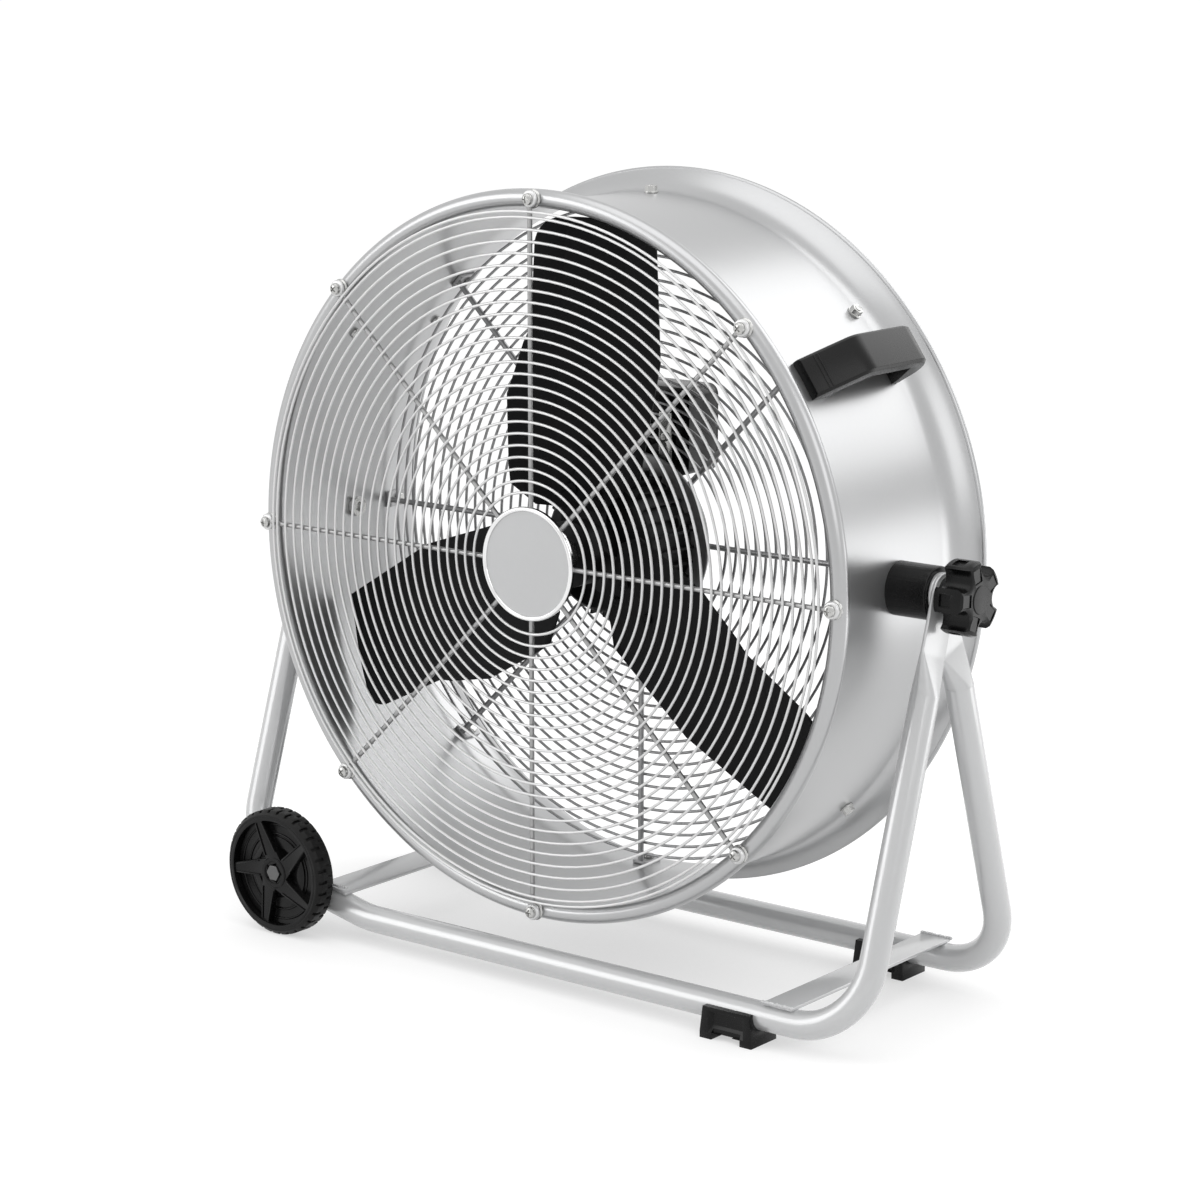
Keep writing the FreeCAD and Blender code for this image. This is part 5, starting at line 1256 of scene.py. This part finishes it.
@dataclass
class Pivots(SubAssembly):
    """Spacers, bolts, washers and five-lobed knobs that clamp the drum in the stand."""

    edge: float = 1.2 * MM
    bolt_edge: float = 0.36 * MM
    hollow_edge: float = 0.72 * MM
    gap: float = 0.2 * MM
    lobes: int = 5
    phase: float = 49.6
    knob_reach: float = 32.0 * MM
    knob_depth: float = 28.0 * MM
    neck: float = 17.0 * MM
    disc: float = 12.5 * MM
    disc_rise: float = 0.8 * MM
    disc_steps: int = 4
    scallop: float = 9.4 * MM
    scallop_circle: float = 30.5 * MM
    bevel: float = 4.5 * MM
    shoulder: float = 0.3
    hollow: float = 11.0 * MM
    hollow_depth: float = 2.0 * MM
    round_steps: int = 8

    def build(self) -> None:
        """Dress the clamps on both sides."""
        self.add("pivot_spacers_long", self.spacers(), "drum", "pivot_spacers")
        for side, name in ((1, "right"), (-1, "left")):
            node = f"{name}_clamp_knob"
            self.add(f"{node}_fluted", self.knob(node, side), body_of(node), node)
        self.skin(ZINC, self.bolt_edge, "pivot_bolts", "clamp_washers")

    def star(self, inset: float, level: float) -> list[Vector]:
        """Outline of the knob: round, with a scallop between each two lobes.

        Args:
            inset: Distance by which the outline is drawn in.
            level: Height of the outline.

        Returns:
            The points, once round.
        """
        tip, hollow, circle = self.knob_reach - inset, self.scallop + inset, self.scallop_circle
        mouth = math.acos((circle ** 2 + tip ** 2 - hollow ** 2) / (2 * circle * tip))
        sweep = math.acos((circle ** 2 + hollow ** 2 - tip ** 2) / (2 * circle * hollow))
        half = TURN / self.lobes / 2
        steps = self.round_steps
        points = []
        for lobe in range(self.lobes):
            middle = TURN * lobe / self.lobes
            for step in range(steps + 1):
                turn = middle + (half - mouth) * (2 * step / steps - 1)
                points.append(Vector((tip * math.cos(turn), tip * math.sin(turn), level)))
            center = Matrix.Rotation(middle + half, 3, "Z") @ Vector((circle, 0, level))
            for step in range(1, 2 * steps):
                turn = middle + half + math.pi + sweep * (1 - step / steps)
                points.append(center + hollow * Vector((math.cos(turn), math.sin(turn), 0)))
        return points

    def core(self, bore_end: float, neck_end: float, face: float) -> Profile:
        """Outline of the knob's round core: a bored neck, then the disc with its rounded rim.

        Args:
            bore_end: Distance from the middle of the fan to the end of the bore.
            neck_end: Distance to the end of the neck.
            face: Distance to the face of the disc.

        Returns:
            Points of radius and distance.
        """
        seat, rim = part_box("clamp_washers")[1].x + self.gap, face - self.disc_rise
        points = [(0.0, bore_end), (PIVOT_BORE, bore_end), (PIVOT_BORE, seat), (self.neck, seat),
                  (self.neck, neck_end), (self.disc, neck_end), (self.disc, rim)]
        points += arc((self.disc - self.disc_rise, rim), self.disc_rise, 0, 90, self.disc_steps)
        return points + [(0.0, face)]

    def knob(self, node: str, side: int) -> bpy.types.Mesh:
        """Fluted clamp knob with a bevelled front and hollows in the end and face of each lobe.

        Args:
            node: CAD node of the knob.
            side: 1 on the right, -1 on the left.

        Returns:
            The knob.
        """
        face = max(abs(corner.x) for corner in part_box(node))
        back, front = face - self.knob_depth, face - self.disc_rise
        cut, margin, half = self.shoulder * self.bevel, 2 * self.edge, self.hollow / 2
        rims = ((self.edge, back), (0.0, back + self.edge), (0.0, front - self.bevel),
                (cut, front - cut), (self.bevel, front))
        star = loft(f"{node}_star", [self.star(inset, level) for inset, level in rims])
        middle = (back + front - self.bevel) / 2
        pockets = (((self.knob_reach - self.hollow_depth, 2 * self.knob_reach),
                    (middle - half, middle + half)),
                   ((self.disc + margin, self.knob_reach - self.bevel),
                    (front - self.hollow_depth / 2, 2 * face)))
        cutters = []
        for lobe in range(self.lobes):
            turn = Matrix.Rotation(TURN * lobe / self.lobes, 3, "Z")
            for reaches, levels in pockets:
                corners = itertools.product(reaches, (-half, half), levels)
                cutters.append(hull("knob_hollow", [turn @ Vector(corner) for corner in corners]))
        pivot = joint_spot("drum_tilt")
        place = (Matrix.Translation(pivot) @ Matrix.Rotation(side * TURN / 4, 4, "Y")
                 @ Matrix.Rotation(math.radians(self.phase), 4, "Z"))
        mesh = carved(node, star, cutters)
        mesh.transform(place)
        bore_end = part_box("pivot_bolts")[1].x + self.edge
        bore = drill(PIVOT_BORE, pivot, pivot + Vector((side * bore_end, 0, 0)))
        mesh = settled(node, carved(node, mesh, (bore,)), broken_edges(self.hollow_edge))
        outline = self.core(bore_end, back + margin, face)
        core = lathe(f"{node}_core", outline, BLACK_PLASTIC, place)
        return shade(join_meshes(node, (coated(mesh, BLACK_PLASTIC), core)))

    def spacers(self) -> bpy.types.Mesh:
        """Saddled spacers, run on to the inner face of the pressed tube ends.

        Returns:
            Both spacers.
        """
        low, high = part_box("pivot_spacers")
        radius, end = (high.z - low.z) / 2, Stand().stack_inner() - self.gap
        profile = [(0.0, high.x), (radius, high.x), (radius, end - self.edge)]
        profile += arc((radius - self.edge, end - self.edge), self.edge, 0, 90) + [(0.0, end)]
        middle = Matrix.Translation((0, 0, joint_spot("drum_tilt").z))
        parts = [coated(node_skin("pivot_spacers"), BLACK_PLASTIC)]
        for side in (-1, 1):
            place = middle @ Matrix.Rotation(side * TURN / 4, 4, "Y")
            parts.append(lathe("spacer_sleeve", profile, BLACK_PLASTIC, place))
        return shade(join_meshes("pivot_spacers_long", parts))


@dataclass
class Stand(SubAssembly):
    """Two bent tubes tied by cross strips, on saddle feet at one end.

    The leg ends at the pivots are flat, twice `pressed` thick, and lie over each other.
    """

    edge: float = 0.6 * MM
    screw_edge: float = 0.3 * MM
    foot_edge: float = 0.9 * MM
    pool: float = 2.0 * MM
    pools: int = 12
    seed: int = 7
    window_mouth: float = 0.0185
    window_floor: float = 0.0165
    window_depth: float = 0.0044
    sill: tuple[float, float] = (0.0062, 0.0125)
    lintel: tuple[float, float] = (0.0255, 0.0240)
    channel: float = 0.0150
    channel_height: float = 0.0056
    tube: float = 12.5 * MM
    pressed: float = 1.6 * MM
    press_start: float = 0.087
    press_end: float = 0.050
    press_steps: int = 8
    stack_rise: float = 1.5 * MM
    round_steps: int = 14

    def build(self) -> None:
        """Dress the tubes, strips and feet and lay the weld runs."""
        self.skin(STAND_PAINT, 0.0, "axle_sleeves")
        for layer, node in enumerate(("front_frame_tube", "rear_frame_tube")):
            self.add(f"{node}_pressed", self.pressed_tube(node, layer), "stand", node)
        self.skin(STAND_PAINT, self.edge, "foot_cross_strip", "wheel_cross_strip")
        for node in ("front_foot", "rear_foot"):
            self.add(f"{node}_moulded", self.foot(node), "stand", node)
        self.skin(ZINC, self.screw_edge, "foot_screws")
        self.welds("foot_cross_strip")
        self.welds("wheel_cross_strip")

    def leg_reach(self) -> float:
        """Distance of the leg axes from the middle of the stand."""
        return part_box("front_frame_tube")[1].x - self.tube

    def stack_inner(self) -> float:
        """Distance from the middle to the inner face of the two flat ends over each other."""
        return self.leg_reach() + self.stack_rise - 4 * self.pressed

    def pressed_tube(self, node: str, layer: int) -> bpy.types.Mesh:
        """Bent tube with both leg ends pressed flat at the pivots.

        Args:
            node: CAD node of the tube.
            layer: Number of pressed ends that lie outside this one.

        Returns:
            The tube with its ends.
        """
        low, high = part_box(node)
        outer = max(low.y, high.y, key=abs)
        run = Vector((0.0, outer - math.copysign(self.tube, outer), low.z + self.tube))
        pivot = joint_spot("drum_tilt")
        up = (pivot - run).normalized()
        work = bmesh.new()
        work.from_mesh(node_skin(node))
        bmesh.ops.bisect_plane(work, geom=work.verts[:] + work.edges[:] + work.faces[:],
                               dist=CLOSE, plane_co=pivot - up * self.press_start, plane_no=up,
                               clear_outer=True)
        parts = [plain_mesh(f"{node}_run", work)]
        parts += [self.pressed_end(f"{node}_end", side, layer, pivot, up) for side in (-1, 1)]
        return shade(join_meshes(f"{node}_pressed", [coated(part, STAND_PAINT) for part in parts]))

    def pressed_end(self, name: str, side: int, layer: int, pivot: Vector,
                    up: Vector) -> bpy.types.Mesh:
        """Leg end that runs from the round tube into a flat eye and keeps the girth of the tube.

        Args:
            name: Name of the mesh.
            side: 1 on the right, -1 on the left.
            layer: Number of pressed ends that lie outside this one.
            pivot: Middle of the eye, on the middle plane.
            up: Direction of the leg.

        Returns:
            The leg end.
        """
        axis = self.leg_reach()
        flat_axis = axis + self.stack_rise - (2 * layer + 1) * self.pressed
        across = up.cross(Vector((1, 0, 0)))
        eye = self.pressed + math.pi * (self.tube - self.pressed) / 2
        stations = []
        for step in range(self.press_steps + 1):
            part = step / self.press_steps
            drop = self.press_start + (self.press_end - self.press_start) * part
            half = self.tube + (self.pressed - self.tube) * part
            stations.append((-drop, half, axis + (flat_axis - axis) * part, 1.0))
        for step in range(self.round_steps):
            turn = TURN / 4 * step / self.round_steps
            stations.append((eye * math.sin(turn), self.pressed, flat_axis, math.cos(turn)))
        rings = []
        for height, half, out, narrow in stations:
            flat = math.pi * (self.tube - half) / 2
            ring = arc((flat, 0.0), half, -90, 90) + arc((-flat, 0.0), half, 90, 270)
            middle = pivot + up * height
            rings.append([middle + across * wide * narrow + Vector((side * (out + thick), 0, 0))
                          for wide, thick in ring])
        bore = drill(PIVOT_BORE, pivot, pivot + Vector((side * 2 * axis, 0, 0)))
        return carved(name, loft(name, rings), (bore,))

    def foot(self, node: str) -> bpy.types.Mesh:
        """Saddle foot with a deep window and sloped sill on both sides, over a channel.

        Args:
            node: CAD node of the foot.

        Returns:
            The moulded foot.
        """
        low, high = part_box(node)
        middle, name = (low.x + high.x) / 2, f"{node}_moulded"
        rise = [2 * outer - inner for outer, inner in (self.sill, self.lintel)]
        mouth = (2 * self.window_mouth - self.window_floor, -self.window_depth, rise)
        floor = (self.window_floor, self.window_depth, (self.sill[1], self.lintel[1]))
        cutters = []
        for face, inward in ((low.y, 1), (high.y, -1)):
            corners = [(middle + side * wide, face + inward * depth, level)
                       for wide, depth, levels in (mouth, floor)
                       for side, level in itertools.product((-1, 1), levels)]
            cutters.append(hull("foot_window", corners))
        channel = itertools.product((middle - self.channel, middle + self.channel),
                                    (low.y - self.edge, high.y + self.edge),
                                    (-self.edge, self.channel_height))
        cutters.append(hull("foot_channel", channel))
        mesh = carved(name, node_skin(node), cutters)
        mesh = settled(name, mesh, broken_edges(self.foot_edge))
        return shade(coated(mesh, BLACK_PLASTIC))

    def welds(self, strip: str) -> None:
        """Weld runs where the two ends of a strip meet the tubes.

        Args:
            strip: CAD node of the strip.
        """
        low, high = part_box(strip)
        tree = weld_tree()
        runs = []
        for index, depth in enumerate((low.y, high.y)):
            ends = {"start": (low.x, depth, high.z), "end": (high.x, depth, high.z)}
            runs.append(tree.run(f"{strip}_weld_{index}", STAND_PAINT, HERE, count=self.pools,
                                 radius=self.pool, seed=self.seed + index, **ends))
        self.add(f"{strip}_welds", join_meshes(f"{strip}_welds", runs), "stand")


@dataclass
class Wheels(SubAssembly):
    """Two moulded wheels with treaded tyres on axle bolts."""

    rim_edge: float = 0.96 * MM
    tyre_edge: float = 0.54 * MM
    axle_edge: float = 0.48 * MM
    nut_edge: float = 0.3 * MM
    face: float = field(default_factory=lambda: reach("rear_wheel_rim", Axis.Y))
    cup_bore: float = 0.0104
    cup_wall: float = 0.0044
    cup_round: float = 0.00088
    cup_drop: float = 0.0007
    cup_depth: float = 0.0055
    cup_steps: int = 48
    spokes: int = 5
    spoke_turn: float = math.radians(40)
    rail_width: float = 0.0013
    rail_height: float = 0.0014
    rail_edge: float = 0.2 * MM
    rail_drop: float = 0.0017
    rail_start: float = 0.018
    rail_end: float = 0.0495
    straight_edge: float = 0.0037
    slant_edge: tuple[float, float] = (0.0101, 0.0038)
    web_rings: int = 3
    web_ring: float = 0.0455
    web_pitch: float = 0.009
    web_wire: float = 0.0011
    web_drop: float = 0.0089

    def build(self) -> None:
        """Dress rims, tyres, axles and nuts, and raise the hub cups, spoke rails and web rings."""
        self.skin(BLACK_PLASTIC, self.rim_edge, "front_wheel_rim", "rear_wheel_rim")
        self.skin(TYRE, self.tyre_edge, "front_wheel_tyre", "rear_wheel_tyre")
        self.skin(DARK_ZINC, self.axle_edge, "wheel_axles")
        self.skin(ZINC, self.nut_edge, "axle_nuts")
        for side, turn in (("front", math.pi / 2), ("rear", -math.pi / 2)):
            spot = joint_spot(f"{side}_wheel_roll")
            spot.y = 0.0
            place = Matrix.Translation(spot) @ Matrix.Rotation(turn, 4, "X")
            rings = ring_tree().run("web_rings", BLACK_PLASTIC, place, count=self.web_rings,
                                    outer=self.web_ring, pitch=self.web_pitch,
                                    wire=self.web_wire, level=self.face - self.web_drop)
            name = f"{side}_wheel_trim"
            trim = join_meshes(name, (self.cup(place), self.rails(place), rings))
            self.add(name, trim, body_of(f"{side}_wheel_rim"))

    def cup(self, place: Matrix) -> bpy.types.Mesh:
        """Raised collar round the axle head.

        Args:
            place: Frame of the wheel, with Z outward.

        Returns:
            The collar.
        """
        top, outer = self.face - self.cup_drop, self.cup_bore + self.cup_wall
        low, shoulder = top - self.cup_depth, top - self.cup_round
        outline = [(self.cup_bore, low), (self.cup_bore, shoulder),
                   (self.cup_bore + self.cup_round, top), (outer - self.cup_round, top),
                   (outer, shoulder), (outer, low)]
        return lathe("wheel_cup", outline + outline[:1], BLACK_PLASTIC, place, self.cup_steps)

    def rails(self, place: Matrix) -> bpy.types.Mesh:
        """Thin raised rails along both edges of every spoke.

        Args:
            place: Frame of the wheel, with Z outward.

        Returns:
            The rails.
        """
        length, middle = self.rail_end - self.rail_start, (self.rail_start + self.rail_end) / 2
        size = (length, self.rail_width, self.rail_height)
        lean = math.atan2(self.slant_edge[0] - self.slant_edge[1], length)
        straight = Matrix.Translation((middle, self.straight_edge, 0))
        slant = (Matrix.Translation((middle, -sum(self.slant_edge) / 2, 0))
                 @ Matrix.Rotation(lean, 4, "Z"))
        pair = join_meshes("spoke_rails", [
            block("spoke_rail", size, BLACK_PLASTIC, spot, self.rail_edge)
            for spot in (straight, slant)])
        return polar_copies("wheel_rails", pair, BLACK_PLASTIC, self.spokes, 0.0,
                            self.face - self.rail_drop, place, self.spoke_turn)


@dataclass(frozen=True)
class Softbox:
    """Square soft light: place, side in metres and brightness of its face, where 1 is white."""

    name: str
    spot: tuple[float, float, float]
    size: float
    glow: float

    def hang(self, aim: Vector) -> None:
        """Put the lamp in the scene, hidden from the camera.

        Args:
            aim: Point that it faces.
        """
        data = bpy.data.lights.new(self.name, "AREA")
        data.size, data.energy = self.size, self.glow * math.pi * self.size ** 2
        lamp = placed(self.name, data)
        lamp.location = self.spot
        lamp.rotation_euler = (aim - Vector(self.spot)).to_track_quat("-Z", "Y").to_euler()
        lamp.visible_camera = False


SOFTBOXES = (
    Softbox("top_softbox", (0.0, -0.6, 2.8), 2.4, 1.0),
    Softbox("left_softbox", (-2.2, -2.4, 1.5), 2.0, 2.0),
    Softbox("right_softbox", (2.4, -0.9, 1.5), 1.6, 1.1),
    Softbox("rear_softbox", (0.9, 2.2, 2.0), 2.2, 1.5),
    Softbox("low_softbox", (0.98, 0.76, 0.22), 0.5, 1.6),
)


def background_rays(tree: bpy.types.NodeTree) -> bpy.types.NodeSocket:
    """Factor for the rays that see the white background: from the camera, metal or clear pieces.

    Args:
        tree: Node tree of the floor or the surround.

    Returns:
        Socket that is 1 for those rays and 0 for the others.
    """
    path = tree.nodes.new("ShaderNodeLightPath")
    factor = path.outputs["Is Camera Ray"]
    for kind in ("Is Glossy Ray", "Is Transmission Ray"):
        larger = tree.nodes.new("ShaderNodeMath")
        larger.operation = "MAXIMUM"
        fill(tree, larger, {0: factor, 1: path.outputs[kind]})
        factor = larger.outputs[0]
    return factor


def grey(tone: float) -> tuple[float, float, float, float]:
    """Opaque grey of one tone."""
    return tone, tone, tone, 1.0


@dataclass
class Studio:
    """Camera, floor and soft light."""

    position: tuple[float, float, float] = (1.8444, -2.3513, 0.9680)
    right: tuple[float, float, float] = (0.7850, 0.6195, 0.0)
    up: tuple[float, float, float] = (-0.1285, 0.1628, 0.9783)
    back: tuple[float, float, float] = (0.6060, -0.7679, 0.2074)
    lens: float = 101.04
    sensor: float = 36.0
    far: float = 200.0
    floor_span: float = 60.0
    floor_tone: float = 0.82
    floor_shadow: float = 0.32
    floor_glow: float = 0.93
    # Reach and depth of the painted contact shadow that ambient occlusion puts into the floor's
    # glow.
    painted_shadow_reach: float = 0.35
    painted_shadow_depth: float = 0.55
    ambient: float = 0.30

    def build(self) -> None:
        """Set up the view and the light."""
        scene = bpy.context.scene
        scene.view_settings.view_transform = "Standard"
        data = bpy.data.cameras.new("camera")
        data.lens, data.sensor_width, data.sensor_fit = self.lens, self.sensor, "HORIZONTAL"
        data.clip_end = self.far
        camera = placed("camera", data)
        axes = Matrix((self.right, self.up, self.back)).transposed().to_4x4()
        camera.matrix_world = Matrix.Translation(self.position) @ axes
        scene.camera = camera
        self.floor()
        self.world()
        for softbox in SOFTBOXES:
            softbox.hang(joint_spot("drum_tilt"))

    def floor(self) -> None:
        """Pale floor that shows white to the camera and in reflections, with a soft shadow: real
        in its diffuse part, painted by ambient occlusion in its glow.
        """
        mesh = bpy.data.meshes.new("floor")
        span = self.floor_span
        corners = [(-span, -span, 0), (span, -span, 0), (span, span, 0), (-span, span, 0)]
        mesh.from_pydata(corners, [], [(0, 1, 2, 3)])
        floor = placed("floor", mesh)
        made = bpy.data.materials.new("pale_floor")
        made.use_nodes = True
        tree = made.node_tree
        tree.nodes.clear()
        soft, plain, glow, both, painted_contact_shade, glow_with_painted_shade, mix, out = (
            tree.nodes.new(f"ShaderNode{kind}") for kind in (
                "BsdfDiffuse", "BsdfDiffuse", "Emission", "AddShader", "AmbientOcclusion",
                "MapRange", "MixShader", "OutputMaterial"))
        fill(tree, soft, {"Color": grey(self.floor_shadow)})
        fill(tree, plain, {"Color": grey(self.floor_tone)})
        # Ambient occlusion dims the glow near the object. This is a painted contact shadow, added
        # to the real lamp shadow in the soft diffuse part.
        fill(tree, painted_contact_shade, {"Distance": self.painted_shadow_reach})
        fill(tree, glow_with_painted_shade, {"Value": painted_contact_shade.outputs["AO"], "To Max": self.floor_glow,
                          "To Min": self.floor_glow * self.painted_shadow_depth})
        fill(tree, glow, {"Strength": glow_with_painted_shade.outputs[0]})
        fill(tree, both, {0: soft.outputs[0], 1: glow.outputs[0]})
        fill(tree, mix, {0: background_rays(tree), 1: plain.outputs[0], 2: both.outputs[0]})
        fill(tree, out, {"Surface": mix.outputs[0]})
        mesh.materials.append(made)

    def world(self) -> None:
        """White surround for the camera and in reflections, dimmer for the light that it gives."""
        world = bpy.data.worlds.new("studio")
        bpy.context.scene.world = world
        world.use_nodes = True
        tree = world.node_tree
        strength = tree.nodes.new("ShaderNodeMapRange")
        fill(tree, strength, {"Value": background_rays(tree), "To Min": self.ambient})
        fill(tree, tree.nodes["Background"],
             {"Color": grey(1.0), "Strength": strength.outputs[0]})


def main() -> None:
    """Build every sub-assembly in order."""
    logging.basicConfig(level=logging.INFO, format="%(name)s %(message)s")
    Studio().build()
    parts = (Stand(), Wheels(), Drum(), RearGuard(), Motor(), ControlBox(), Fan(), FrontGuard(),
             Handles(), Pivots())
    for part in parts:
        LOG.info("building %s", type(part).__name__)
        part.build()


if __name__ == "__main__":
    main()
